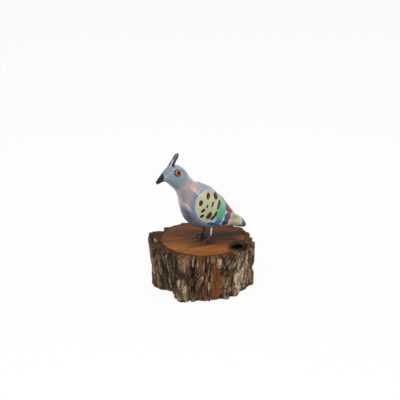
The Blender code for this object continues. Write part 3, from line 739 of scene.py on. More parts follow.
@dataclass(frozen=True)
class SawnTop:
    """Sanded and varnished wood, with the sawn bark round it and the dark line between them."""

    light: Colour = paint(160, 97, 38)
    middle: Colour = paint(116, 65, 28)
    dark: Colour = paint(54, 33, 23)
    line: Colour = paint(58, 36, 24)
    rim: Colour = paint(126, 88, 56)
    rim_pale: Colour = paint(146, 116, 82)
    rim_dark: Colour = paint(60, 42, 30)
    singed: Colour = paint(46, 31, 24)
    # Painted shade of the knot hole: near-black round its mouth and inside it
    hollow_shade: Colour = paint(16, 12, 11)
    hole: Colour = paint(10, 8, 7)
    silver_grain: Colour = paint(196, 160, 120)
    bump_depth: float = 0.35 * MM

    # Lighter and darker ovals, seen from above: the middle, the half sizes, the turn and the change of tone.
    # The first is the bird's shadow, painted on the wood.
    tones_and_painted_shadow: tuple = (
        # Painted shadow of the bird on the wood below it
        ((15.0, -4.0), (20.0, 7.0), 8.0, -0.2),
        ((31.0, -10.0), (5.0, 4.0), 10.0, 0.16),
        ((-6.0, -23.0), (26.0, 8.0), 12.0, 0.1),
        ((-27.0, -2.0), (13.0, 14.0), 20.0, 0.15),
        ((17.0, -14.0), (13.0, 5.0), 12.0, -0.16),
        ((24.0, -24.0), (11.0, 7.5), 40.0, -0.42),
    )
    # Marks round the knot hole: the middle, the half sizes, the turn, the strength and the colour. The first
    # stains the wood dark; the second spreads the hole's near-black painted shade onto the top.
    stains_and_hollow_shade: tuple = (
        ((23.5, -26.0), (8.5, 5.5), 40.0, 0.75, singed),
        ((21.8, -26.8), (6.8, 3.9), 12.0, 0.92, hollow_shade),
    )

    def _wood(self, graph: Graph, effects: Effects, parts: object, grain_place: object, fine: object,
              uneven: object) -> object:
        """The wood's colour, darker towards the back, with its lighter and darker ovals, one of them the
        bird's painted shadow.
        """
        broad = graph.grain(grain_place, (0.035, 0.3, 0.2), 5.0, 0.65)
        pale = graph.remap(graph.grain(grain_place, (0.07, 1.1, 1.0), 3.0, 0.55), 0.6, 0.72)
        back = graph.remap(parts["Y"], -16.0, 8.0)
        tone = graph.plus(graph.times(broad, 0.8), graph.times(fine, 0.35))
        tone = graph.minus(tone, graph.times(back, 0.12))
        from_above = self._from_above(graph, parts)
        for middle, half_sizes, turn, change in self.tones_and_painted_shadow:
            mask = effects.oval(graph, from_above, uneven, middle, half_sizes, turn, 0.65, 0.8)
            tone = graph.plus(tone, graph.times(mask, change))
        colour = graph.ramp(tone, ((0.3, self.dark), (0.52, self.middle), (0.74, self.light)))
        return graph.mix(graph.times(pale, 0.25), colour, self.silver_grain)

    @staticmethod
    def _from_above(graph: Graph, parts: object) -> object:
        """Coordinates on which an oval lies flat on the top."""
        return graph.add("CombineXYZ", {0: parts["X"], 2: parts["Y"]}).outputs[0]

    def _rim(self, graph: Graph, rim_noise: object) -> object:
        """The colour of the sawn bark, paler on its ridges, with painted shade in its furrows."""
        rim = graph.mix(graph.remap(rim_noise, 0.4, 0.6), self.rim_dark, self.rim)
        rim = graph.mix(graph.remap(graph.attribute("ridge"), 0.25, 0.7, 0.0, 0.5), rim, self.rim_pale)
        # Painted shade in the furrows of the sawn bark
        return graph.mix(graph.remap(graph.attribute("furrow"), 0.3, 0.9, 0.0, 0.75), rim, self.rim_dark)

    def _marked(self, graph: Graph, effects: Effects, parts: object, colour: object, beyond: object,
                knot: object, uneven: object) -> object:
        """The colour with the dark line round the wood, the dark stain, and the knot hole with its painted
        shade.
        """
        edge_line = graph.remap(graph.math("ABSOLUTE", graph.minus(beyond, 0.4)), 1.2, 0.2)
        broken = graph.remap(uneven, -0.12, 0.1, 0.25, 0.85)
        colour = graph.mix(graph.times(edge_line, broken), colour, self.line)
        from_above = self._from_above(graph, parts)
        for middle, half_sizes, turn, amount, stain_and_painted_light in self.stains_and_hollow_shade:
            mask = effects.oval(graph, from_above, uneven, middle, half_sizes, turn, 0.4, 1.0)
            colour = graph.mix(graph.times(mask, amount), colour, stain_and_painted_light)
        colour = graph.mix(graph.remap(knot, -0.95, -0.15, 0.0, 0.92), colour, self.singed)
        # The inside of the knot hole is painted near-black, as shade
        return graph.mix(graph.remap(graph.attribute("knot"), -0.04, 0.06), colour, self.hole)

    def material(self, effects: Effects) -> bpy.types.Material:
        """Builds the material, with the wood's edge read from the mesh's attributes."""
        made, graph, shader = new_material("varnished_wood")
        place = graph.place_mm()
        parts = graph.add("SeparateXYZ", {0: place}).outputs
        bent = graph.plus(parts["Y"], graph.times(graph.uneven(place, 0.03, 2.0, 0.5), 12.0))
        grain_place = graph.add("CombineXYZ", {0: parts["X"], 1: bent, 2: parts["Z"]}).outputs[0]
        fine = graph.grain(grain_place, (0.12, 1.5, 1.0), 4.0, 0.6)
        uneven = graph.uneven(place, 0.2)
        beyond = graph.attribute("beyond_wood")
        rim_noise = graph.noise(place, 0.55, 5.0, 0.65)
        knot = graph.plus(graph.attribute("knot"), graph.times(uneven, 0.5))
        wood = self._wood(graph, effects, parts, grain_place, fine, uneven)
        colour = graph.mix(graph.remap(beyond, -0.3, 0.9), wood, self._rim(graph, rim_noise))
        colour = self._marked(graph, effects, parts, colour, beyond, knot, uneven)
        graph.feed(shader.inputs["Base Color"], colour)
        wood_rough = graph.remap(fine, 0.3, 0.7, 0.42, 0.58)
        rough = graph.math("MAXIMUM", graph.remap(beyond, 0.0, 1.0), graph.remap(knot, -0.5, 0.0))
        graph.feed(shader.inputs["Roughness"], graph.plus(wood_rough, graph.times(rough, 0.4)))
        grime = graph.group(effects.grime, {"Place": place, "Scale": 0.8, "Amount": 0.4})["Mask"]
        height = graph.plus(graph.times(fine, 0.6), graph.times(rough, rim_noise))
        height = graph.minus(height, graph.times(grime, 0.3))
        graph.feed(shader.inputs["Normal"], graph.bump(height, self.bump_depth, 0.7))
        shader.inputs["Specular IOR Level"].default_value = 0.06
        return made


@dataclass(frozen=True)
class RawWood:
    """The sawn underside, with rings and saw marks."""

    light: Colour = paint(188, 146, 98)
    dark: Colour = paint(134, 94, 58)
    rings_per_mm: float = 2.4 / (2 * math.pi)
    bump_depth: float = 0.2 * MM

    def material(self, effects: Effects) -> bpy.types.Material:
        """Builds the material."""
        made, graph, shader = new_material("sawn_underside")
        place = graph.place_mm()
        flat = graph.vector("MULTIPLY", place, (1.0, 0.94, 0.0))
        reach = graph.length(flat)
        wander = graph.noise(place, 0.08, 3.0, 0.6)
        turns = graph.times(reach, 2 * math.pi * self.rings_per_mm)
        rings = graph.math("SINE", graph.plus(turns, graph.times(wander, 9.0)))
        saw = graph.group(effects.strokes, {"Place": graph.stretched(place, (0.08, 1.8, 1.0)), "Scale": 1.0})
        tone = graph.plus(graph.remap(rings, -1.0, 1.0, 0.0, 0.7), graph.times(saw["Tone"], 0.3))
        graph.feed(shader.inputs["Base Color"], graph.mix(tone, self.light, self.dark))
        graph.feed(shader.inputs["Roughness"], graph.remap(saw["Height"], 0.3, 1.0, 0.75, 0.95))
        graph.feed(shader.inputs["Normal"], graph.bump(saw["Height"], self.bump_depth, 0.6))
        return made


@dataclass(frozen=True)
class EyeGlass:
    """A taxidermist's glass eye: amber iris, dark pupil and a red-brown rim under clear glass."""

    amber: Colour = paint(206, 124, 14)
    amber_shaded: Colour = paint(138, 66, 16)
    rim: Colour = paint(92, 38, 24)
    pupil_radius: float = 1.3
    iris_radius: float = 2.1
    iris_edge: float = 0.25
    pupil_edge: float = 0.12

    def material(self, effects: Effects) -> bpy.types.Material:
        """Builds the material on the eye's own flat coordinates, in millimetres."""
        made, graph, shader = new_material("amber_glass_eye")
        local = graph.attribute("iris", "Vector")
        flat = graph.vector("MULTIPLY", local, (1.0, 1.0, 0.0))
        reach = graph.length(flat)
        parts = graph.add("SeparateXYZ", {0: local}).outputs
        # Painted light and shade on the iris: amber towards the front and top, deeper and redder towards the
        # back and bottom
        shade = graph.remap(graph.plus(parts["X"], graph.times(parts["Y"], -0.5)), -1.4, 1.8)
        turn = graph.math("ARCTAN2", parts["Y"], parts["X"])
        round_eye = graph.add("CombineXYZ", {0: turn, 1: graph.times(reach, 0.3)}).outputs[0]
        spokes = graph.remap(graph.noise(round_eye, 5.0, 2.0, 0.6), 0.4, 0.7, 0.0, 0.25)
        amber = graph.mix(graph.plus(shade, spokes), self.amber, self.amber_shaded)
        uneven = graph.times(graph.uneven(local, 0.9, 2.0, 0.5), 0.3)
        edge = graph.plus(reach, uneven)
        beyond_iris = graph.remap(edge, self.iris_radius - self.iris_edge, self.iris_radius + self.iris_edge)
        in_pupil = graph.remap(edge, self.pupil_radius + self.pupil_edge, self.pupil_radius - self.pupil_edge)
        colour = graph.mix(in_pupil, graph.mix(beyond_iris, amber, self.rim), BLACK)
        graph.feed(shader.inputs["Base Color"], colour)
        dust = graph.group(effects.grime, {"Place": graph.place_mm(), "Scale": 2.5, "Amount": 0.1})["Mask"]
        graph.feed(shader.inputs["Roughness"], graph.plus(0.08, dust))
        shader.inputs["Specular IOR Level"].default_value = 0.1
        shader.inputs["Coat Weight"].default_value = 0.3
        shader.inputs["Coat Roughness"].default_value = 0.02
        return made


@dataclass(frozen=True)
class Wire:
    """Drawn metal wire with fine marks along it and patches of darker stain, and, where set, the brown wood
    painted on its lower part as a reflection.
    """

    name: str
    metal: Colour
    stain_and_painted_light: Colour
    stained: float
    roughness: float
    metallic: float = 1.0
    wood_reflection_below: float = 0.0

    def material(self, effects: Effects) -> bpy.types.Material:
        """Builds the material."""
        made, graph, shader = new_material(self.name)
        place = graph.place_mm()
        marks = graph.group(effects.strokes, {"Place": graph.stretched(place, (3.0, 3.0, 0.6)), "Scale": 1.0})
        patches = graph.noise(place, 0.55, 3.0, 0.6)
        cover = graph.remap(patches, 0.62 - self.stained * 0.4, 0.72 - self.stained * 0.3)
        # Painted reflection: below a height over the wood, the wire takes the darker colour of the wood that
        # it reflects
        if self.wood_reflection_below > 0.0:
            above = graph.minus(graph.add("SeparateXYZ", {0: place}).outputs["Z"], LOG_HEIGHT / MM)
            above = graph.plus(above, graph.times(patches, 2.0))
            low = graph.remap(above, self.wood_reflection_below + 2.5, self.wood_reflection_below - 0.5)
            cover = graph.math("MAXIMUM", cover, low)
        graph.feed(shader.inputs["Base Color"], graph.mix(cover, self.metal, self.stain_and_painted_light))
        rough = graph.plus(self.roughness, graph.times(marks["Height"], 0.15))
        graph.feed(shader.inputs["Roughness"], graph.plus(rough, graph.times(cover, 0.25)))
        graph.feed(shader.inputs["Metallic"], graph.remap(cover, 0.0, 1.0, self.metallic, 0.25))
        graph.feed(shader.inputs["Normal"], graph.bump(marks["Height"], 0.05 * MM, 0.6))
        return made


# The near leg: bright metal, with a painted reflection of the wood on its lower part
BRIGHT_WIRE = Wire("bright_wire", paint(240, 238, 232), paint(86, 56, 40), 0.0, 0.24, 0.55, 6.0)
# The far leg: the same wire as the near one, painted dark brown as its shade
SHADED_FAR_LEG_WIRE = Wire("shaded_far_leg_wire", paint(84, 52, 38), paint(52, 30, 22), 0.6, 0.35, 0.5)
DARK_WIRE = Wire("dark_wire", paint(112, 112, 120), paint(38, 32, 31), 0.66, 0.3)


# Log slice

@dataclass(frozen=True)
class Lobe:
    """A swelling or hollow of the log's outline, tapering evenly from the foot to the top."""

    angle: float
    half_width: float
    at_foot: float
    at_top: float


@dataclass(frozen=True)
class Plate:
    """A loose plate, strand, knot or hollow on the bark, with a crack round it.

    It is an oval on the wall: its middle's angle in degrees and height, and its half sizes and lift in
    millimetres. It leans clockwise, seen from outside. Its tone is pale above 0 and dark below.
    """

    angle: float
    height: float
    half_width: float
    half_height: float
    lean: float = 0.0
    lift: float = 0.45
    tone: float = 0.6
    warmth: float = 0.0
    cracked: float = 1.0


@dataclass
class LogSlice:
    """A slice of branch: bark all round, a sawn and varnished top and a sawn underside.

    Lengths are in millimetres and angles in degrees, as the shape is worked out in them.
    """

    radius: float = 39.3
    height: float = LOG_HEIGHT / MM
    bark: float = 7.2
    bark_uneven: float = 1.3
    thin_bark_angle: float = -18.0
    fissure: float = 3.0
    line_wander: float = 0.5
    line_wander_grain: float = 0.6
    crack_sharpness: float = 3.6
    cross_size: tuple[float, float] = (9.0, 7.0)
    cross_seed: float = 11.0
    cross_depth: float = 1.0
    cross_patches: float = 2.9
    cross_patch_length: float = 16.0
    thin_size: tuple[float, float] = (2.6, 11.0)
    thin_seed: float = 5.0
    thin_depth: float = 0.4
    flake_width: float = 1.5
    flake_length: float = 8.5
    flake_wander: float = 0.7
    flake_depth: float = 0.3
    chip_depth: float = 0.1
    chip_sharpness: float = 5.0
    fibre_grain: tuple[float, float, float] = (1.9, 1.9, 0.8)
    fibre_height: float = 0.3
    bark_raise: float = 0.35
    lump: float = 1.1
    lump_width: float = 11.9
    lump_length: float = 19.0
    plate_crack: float = 0.7
    edge_drop: float = 1.3
    groove_width: float = 0.9
    groove_depth: float = 0.5
    rim_roughness: float = 0.35
    rim_grain: float = 0.45
    wood_rounding: float = 0.12
    base_chamfer: float = 1.0
    bare_angle: float = -94.0
    bare_half_width: float = 5.5
    bare_top: float = 34.0
    bare_fade: float = 4.0
    bare_smoothness: float = 0.8
    bare_depth: float = 2.6
    noise_seed: int = 7
    knot_angle: float = -51.0
    knot_inset: float = 2.0
    knot_half_length: float = 4.8
    knot_half_width: float = 3.8
    knot_depth: float = 5.5
    knot_lip: float = -0.04
    knot_floor: float = 0.5
    knot_wobble: float = 0.4
    knot_wobble_grain: float = 0.42
    sides: int = 720
    levels: int = 76
    level_face: float = 0.9
    on_wall: float = 0.01
    underside_rings: tuple[float, ...] = (1.0, 6.0, 14.0)
    lobes: tuple[Lobe, ...] = (
        Lobe(335, 20, 1.4, 1.4), Lobe(8, 14, 0.6, 1.4), Lobe(60, 16, -1.2, -1.4), Lobe(102, 8, -1.0, -1.4),
        Lobe(127, 4.5, -2.6, -4.8), Lobe(138, 6, 1.0, 5.6), Lobe(159, 5.5, -1.5, -6.4),
        Lobe(179, 9, -1.5, 3.4), Lobe(198, 12, -8.2, -0.2), Lobe(226, 7, 3.4, 0.6),
        Lobe(252, 10, -2.0, -0.8), Lobe(305, 12, -2.8, -0.8),
    )
    # Broad tones first, then the plates, strands, cracks and hollows that lie on them
    plates: tuple[Plate, ...] = (
        Plate(196, 17, 14, 17, 0, 0, -0.4, 0.0, 0), Plate(314, 18, 14, 18, 0, 0, 0.3, 0.2, 0),
        Plate(231, 26, 9, 9, 0, 0, -0.3, 0.45, 0), Plate(252, 14, 9, 14, 0, 0, 0.2, 0.6, 0),
        Plate(238, 19, 4.8, 13, 0, -0.7, -1.3, 0, 0.4), Plate(223.3, 15.5, 5.0, 6.0, 0, 0.2, 0.1),
        Plate(223.3, 15.5, 2.3, 2.6, 0, 0.3, 0.55, 0.3),
        Plate(222, 21.5, 3.6, 0.9, 12, -0.9, -1.5, 0, 0.6), Plate(239.2, 31.7, 0.8, 4.2, 4, 0.4, 1.2),
        Plate(248.5, 29.5, 3.4, 6.5, 0, 0.4, 0.0, 0.7), Plate(248.7, 18.8, 1.6, 3.3, 6, 0.4, 0.8),
        Plate(257.4, 23, 0.7, 5.5, 0, 0.4, 0.8), Plate(257.4, 11.5, 0.8, 4.5, 0, 0.4, 1.0),
        Plate(270, 29.8, 2.2, 5.6, 0, 0.5, 0.9), Plate(271.5, 12, 2.6, 12, 0, -0.9, -0.2, 1.0),
        Plate(255.3, 2.5, 1.7, 1.7, 0, 0.3, 0.2, 1.0), Plate(279, 29, 0.9, 5, 35, 0.3, 0.5, 0.5),
        Plate(283, 30, 0.8, 5, 35, 0.3, 0.9, 0.3), Plate(286.5, 28, 0.9, 5, 35, 0.3, 0.4, 0.6),
        Plate(290, 27, 0.8, 4.5, 35, 0.3, 0.8, 0.3), Plate(281.5, 11.6, 3.6, 7, 0, 0.3, 0.7, 0.5),
        Plate(297.5, 11.5, 4.4, 10.5, -8, 0.5, 1.6), Plate(306, 18, 2.0, 14, -12, 0.4, 1.4),
        Plate(318, 18, 1.7, 13, -6, 0.4, 1.3), Plate(312, 15, 1.0, 12, -8, 0.3, 0.7),
        Plate(322, 12, 1.0, 8, -4, 0.3, 0.9), Plate(325, 27, 0.9, 8, -20, 0.4, 0.7),
        Plate(328, 17.6, 1.5, 3, 0, 0.3, 0.3, 1.0), Plate(188, 20, 0.8, 6.5, 0, 0.4, 1.0),
        Plate(198.5, 22, 0.9, 10.5, 8, 0.4, 1.1), Plate(205.6, 28.4, 0.8, 5, 10, 0.4, 0.9),
        Plate(180, 18, 0.8, 6, 4), Plate(193.5, 27, 0.7, 5, 0), Plate(211, 18, 0.8, 7, 6),
        Plate(203, 10, 0.8, 6, 2), Plate(215, 29, 1.0, 5, 8), Plate(230, 8, 1.2, 6, 6, 0.3, 0.4),
        Plate(243, 8, 1.4, 6, -4, 0.3, 0.3), Plate(250.5, 7, 0.9, 5, 3, 0.3, 0.6),
        Plate(287, 33, 3.0, 2.0, 20, -0.5, -0.8), Plate(289, 22, 2.4, 2.6, 0, -0.7, -1.2),
        Plate(147, 32.6, 1.6, 1.8, 0, -1.4, -1.4), Plate(150.5, 33.5, 0.7, 1.8, 0, 0.3, 1.4),
        Plate(20, 20, 3.6, 9, 6, 0.4, 0.7), Plate(40, 14, 2.4, 10, -4, 0.4, 0.5),
        Plate(62, 24, 3.2, 7, 0, 0.4, 0.9), Plate(80, 12, 3.0, 8, 5, 0.4, 0.2, 0.7),
        Plate(98, 22, 1.4, 11, -6, 0.4, 0.8), Plate(116, 15, 3.6, 7, 0, 0.4, 0.6),
        Plate(5, 12, 1.2, 9, 4, 0.4, 0.8), Plate(345, 14, 3.4, 8, -6, 0.4, 0.6),
        Plate(354, 26, 1.4, 6, 8, 0.4, 0.9), Plate(160, 14, 2.4, 9, 4, 0.4, 0.7),
        Plate(170, 26, 1.0, 7, -3, 0.4, 0.8),
    )
    # Widths of the rings on the top, from the bark's edge to near the middle
    cap_rings: tuple[float, ...] = (0.5,) * 12 + (0.35,) * 8 + (0.5,) * 16 + (3.0,) * 5

    def outline(self, angle: float, rise: float) -> float:
        """The radius without the bark's relief, at an angle and a share of the height."""
        reach = self.radius
        for lobe in self.lobes:
            away = (math.degrees(angle) - lobe.angle + 180) % 360 - 180
            height = lobe.at_foot + (lobe.at_top - lobe.at_foot) * rise
            reach += height * math.exp(-((away / lobe.half_width) ** 2))
        return reach

    def bare(self, angle: float, height: float) -> float:
        """How much of the outer bark has come away here, from 0 to 1."""
        away = (math.degrees(angle) - self.bare_angle + 180) % 360 - 180
        across = math.exp(-((away / self.bare_half_width) ** 4))
        return across * min(1.0, max(0.0, (self.bare_top - height) / self.bare_fade))

    def furrow_lines(self, around: Vector, height: float, size: tuple[float, float], seed: float) -> float:
        """How near this place is to one of the wandering cracks.

        Args:
            around: the direction from the log's middle.
            height: the height on the wall.
            size: the width and length of the ridges between the cracks.
            seed: a number that sets these cracks apart from others.

        Returns:
            1 on a crack, and below 0 away from it.
        """
        place = around * (self.radius / size[0])
        place.z = height / size[1] + seed
        place += self.line_wander * noise.noise_vector(place * self.line_wander_grain)
        return 1.0 - abs(noise.noise(place)) * self.crack_sharpness

    @staticmethod
    def solid_surface() -> BVHTree:
        """The CAD solid's surface, from which the bark takes its main furrows."""
        mesh = bpy.data.objects["log_slice"].data
        corners = [vertex.co for vertex in mesh.vertices]
        return BVHTree.FromPolygons(corners, [tuple(face.vertices) for face in mesh.polygons])

    def solid_relief(self, solid: BVHTree, angle: float, level: float) -> float:
        """How far the CAD solid's bark lies from the outline at an angle and a height."""
        height = min(max(level, self.base_chamfer + 0.4), self.height - self.edge_drop - 1.0)
        around = Vector((math.cos(angle), math.sin(angle), 0.0))
        start = around * (2.0 * self.radius * MM)
        start.z = height * MM
        hit = solid.ray_cast(start, -around)[0]
        if hit is None:
            return 0.0
        bare = self.bare(angle, height)
        away = math.hypot(hit.x, hit.y) / MM - self.outline(angle, height / self.height)
        return (away + self.bare_depth * bare) / (1.0 - self.bare_smoothness * bare)

    def relief(self, angle: float, height: float, of_solid: float) -> tuple[float, float, float]:
        """The bark's relief from its outline: the solid's own, with the fine bark on it.

        Args:
            angle: the direction from the log's middle.
            height: the height on the wall.
            of_solid: the solid's relief here.

        Returns:
            The relief, how deep in a furrow the place is, and how high on a ridge.
        """
        around = Vector((math.cos(angle), math.sin(angle), 0))
        bulge = around * (self.radius / self.lump_width)
        lump = noise.noise(bulge + Vector((7, 3, 1 + height / self.lump_length)))
        main = min(1.0, max(0.0, (self.lump * lump - of_solid) / self.fissure))
        crosses = self.furrow_lines(around, height, self.cross_size, self.cross_seed)
        patch = around * self.cross_patches
        patch.z = height / self.cross_patch_length
        cross = max(0.0, crosses * 2.0 - 1.0) * min(1.0, max(0.0, 2.5 * noise.noise(patch)))
        thin = self.furrow_lines(around, height, self.thin_size, self.thin_seed)
        small = around * (self.radius / self.flake_width)
        small.z = height / self.flake_length
        small += self.flake_wander * noise.noise_vector(small * 0.5)
        near, points = noise.voronoi(small)
        flake = 0.5 + 0.5 * noise.cell(points[0] * 13.7)
        chip = max(0.0, 1.0 - (near[1] - near[0]) * self.chip_sharpness)
        fibre = noise.fractal(small * Vector(self.fibre_grain), 0.8, 2.1, 3)
        relief = of_solid + self.bark_raise - self.cross_depth * cross - self.thin_depth * max(0.0, thin)
        relief += self.fibre_height * fibre - self.flake_depth * flake - self.chip_depth * chip
        deep = max(0.0, main, 0.75 * thin, cross)
        ridge = 0.5 - 0.5 * flake + 0.5 * fibre + 0.25 * min(1.0, -thin)
        return relief, deep, ridge

    def plate_marks(self, angle: np.ndarray, height: np.ndarray) -> dict[str, np.ndarray]:
        """The lift, crack, tone and warmth that the plates give to places on the wall."""
        marks = {name: np.zeros(len(angle)) for name in ("lift", "crack", "tone", "warmth")}
        for plate in self.plates:
            away = np.radians((np.degrees(angle) - plate.angle + 180) % 360 - 180) * self.radius
            above = height - plate.height
            lean = math.radians(plate.lean)
            across = away * math.cos(lean) - above * math.sin(lean)
            along = away * math.sin(lean) + above * math.cos(lean)
            ragged = 0.13 * np.sin(along * 1.3 + plate.angle) + 0.1 * np.sin(along * 2.9 - across * 1.7)
            reach = np.hypot(across / plate.half_width, along / plate.half_height) + ragged
            inside = 1.0 - ease(reach, 0.85, 1.08)
            crack = np.exp(-((((reach - 1.0) * plate.half_width - 0.45) / 0.45) ** 2))
            marks["lift"] += plate.lift * inside
            marks["crack"] = np.maximum(marks["crack"] * (1.0 - inside), crack * 0.85 * plate.cracked)
            marks["tone"] += (plate.tone - marks["tone"]) * inside
            marks["warmth"] += (plate.warmth - marks["warmth"]) * inside
        return marks

    def wood_edge(self, angle: float) -> float:
        """The edge of the wood on the sawn face, inside the bark."""
        wander = noise.noise(Vector((math.cos(angle), math.sin(angle), 5.0)) * 1.3)
        uneven = self.bark_uneven * math.cos(angle - math.radians(self.thin_bark_angle))
        return self.radius - self.bark + uneven + wander

    def start_mesh(self) -> bpy.types.Object:
        """A cylinder in millimetres with rings on its wall and concentric rings on its top."""
        piece = Bench.ringed_cylinder("log_with_bark", self.sides, (self.levels,), "NGON")
        piece.scale = (self.radius, self.radius, self.height)
        Bench.apply_place(piece)
        with Bench.editing(piece, "FACE"):
            Bench.choose_faces(piece, lambda face: face.normal.z > self.level_face)
            for width in self.cap_rings:
                bpy.ops.mesh.inset(thickness=width, depth=0)
            bpy.ops.mesh.poke()
            Bench.choose_faces(piece, lambda face: face.normal.z < -self.level_face)
            for width in self.underside_rings:
                bpy.ops.mesh.inset(thickness=width, depth=0)
            bpy.ops.mesh.poke()
        return piece

    def knot_share(self, x: float, y: float) -> float:
        """How far inside the knot hole a point of the top is: 1 at its middle, 0 at its edge."""
        angle = math.radians(self.knot_angle)
        reach = self.wood_edge(angle) - self.knot_inset
        away = Vector((x - math.cos(angle) * reach, y - math.sin(angle) * reach))
        turn = angle + math.pi / 2
        along = (away.x * math.cos(turn) + away.y * math.sin(turn)) / self.knot_half_length
        aside = (-away.x * math.sin(turn) + away.y * math.cos(turn)) / self.knot_half_width
        wobble = self.knot_wobble * noise.noise(Vector((x, y, 1.0)) * self.knot_wobble_grain)
        return 1.0 - math.hypot(along, aside) + wobble

    def rim_height(self, x: float, y: float, beyond: float, share: float) -> float:
        """The height of the sawn bark: a groove beside the wood, then a fall to the broken edge.

        Args:
            x: the point's x on the cylinder.
            y: the point's y on the cylinder.
            beyond: how far outside the wood it is.
            share: the same as a share of the bark's width.

        Returns:
            The height above the underside.
        """
        rough = noise.fractal(Vector((x, y, 3.0)) * self.rim_grain, 0.9, 2.0, 3)
        groove = self.groove_depth * math.exp(-(((beyond - self.groove_width) / 0.6) ** 2))
        fall = self.edge_drop * (0.45 * ease(beyond, 0.5, 2.5) + 0.55 * share**3)
        return self.height - groove - fall + self.rim_roughness * rough * ease(beyond, 0.6, 2.0)

    def placed(self, x: float, y: float, level: float, bark_edge: float) -> tuple[Vector, float]:
        """Moves one point of the wall, the rim or the wood.

        Args:
            x: the point's x on the cylinder.
            y: the point's y on the cylinder.
            level: its height, if it is on the wall.
            bark_edge: how far the bark reaches in its direction.

        Returns:
            Its new place, and how far that is outside the wood.
        """
        start, angle = math.hypot(x, y), math.atan2(y, x)
        wood = self.wood_edge(angle)
        if start > self.radius - self.on_wall:
            reach = bark_edge - self.base_chamfer * max(0.0, 1.0 - level / self.base_chamfer)
            height = level
        elif start > self.radius - self.bark:
            share = (start - self.radius + self.bark) / self.bark
            reach = wood + (bark_edge - wood) * share
            height = self.rim_height(x, y, reach - wood, share)
        else:
            reach = wood * start / (self.radius - self.bark)
            height = self.height - self.wood_rounding * ease(reach - wood, -0.5, 0.0)
        return Vector((reach * math.cos(angle), reach * math.sin(angle), height)), reach - wood

    def shaped(self, points: np.ndarray) -> tuple[np.ndarray, dict[str, np.ndarray]]:
        """Moves the cylinder's points to the bark, the rim and the wood.

        Args:
            points: the cylinder's points, in millimetres.

        Returns:
            The new points and the attributes for the materials.
        """
        noise.seed_set(self.noise_seed)
        solid = self.solid_surface()
        moved = points.copy()
        kept = {name: np.zeros(len(points)) for name in ("furrow", "ridge", "bare", "beyond_wood", "knot")}
        kept["knot"] -= 1.0
        edge = self.height - self.edge_drop
        start = np.hypot(points[:, 0], points[:, 1])
        angles = np.arctan2(points[:, 1], points[:, 0])
        on_wall = start > self.radius - self.on_wall
        levels = np.where(on_wall, points[:, 2] * edge / self.height, edge)
        marks = self.plate_marks(angles, levels)
        kept["plate"], kept["warmth"] = marks["tone"], marks["warmth"]
        for i, (x, y, z) in enumerate(points):
            angle, level, crack = angles[i], levels[i], marks["crack"][i]
            if z < self.on_wall and not on_wall[i]:
                outer = self.outline(angle, 0.0) - self.base_chamfer - self.fissure
                moved[i] = (x * outer / self.radius, y * outer / self.radius, 0.0)
                continue
            bare = self.bare(angle, level)
            relief, furrow, ridge = self.relief(angle, level, self.solid_relief(solid, angle, level))
            furrow = max(furrow * (1.0 - 0.6 * abs(marks["tone"][i])), crack)
            kept["furrow"][i], kept["ridge"][i], kept["bare"][i] = furrow, ridge, bare
            relief += marks["lift"][i] - self.plate_crack * crack
            bark_edge = self.outline(angle, level / self.height) - self.bare_depth * bare
            bark_edge += relief * (1.0 - self.bare_smoothness * bare)
            place, kept["beyond_wood"][i] = self.placed(x, y, level, bark_edge)
            if not on_wall[i]:
                knot = self.knot_share(place.x, place.y)
                kept["knot"][i] = max(-1.0, knot)
                place.z -= self.knot_depth * float(ease(knot, self.knot_lip, self.knot_floor))
            moved[i] = place
        return moved, kept

    def build(self, effects: Effects) -> bpy.types.Object:
        """Models the log slice and gives it its three materials.

        Args:
            effects: the shared shader groups.

        Returns:
            The finished piece.
        """
        piece = self.start_mesh()
        for finish in (Bark(), SawnTop(), RawWood()):
            piece.data.materials.append(finish.material(effects))
        for face in piece.data.polygons:
            up = face.normal.z
            face.material_index = 1 if up > self.level_face else 2 if up < -self.level_face else 0
        points, kept = self.shaped(Bench.points(piece))
        low, high = (np.array(corner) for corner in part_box("log_slice"))
        shift = (low + high) / 2 - (points.min(axis=0) + points.max(axis=0)) / 2 * MM
        shift[2] = 0.0
        Bench.place_points(piece, np.clip(points * MM + shift, low, high))
        for name, values in kept.items():
            Bench.add_attribute(piece, name, values)
        Bench.smooth(piece, 50.0)
        Bench.hand_over(piece, "log", "log_slice")
        return piece


# Bird

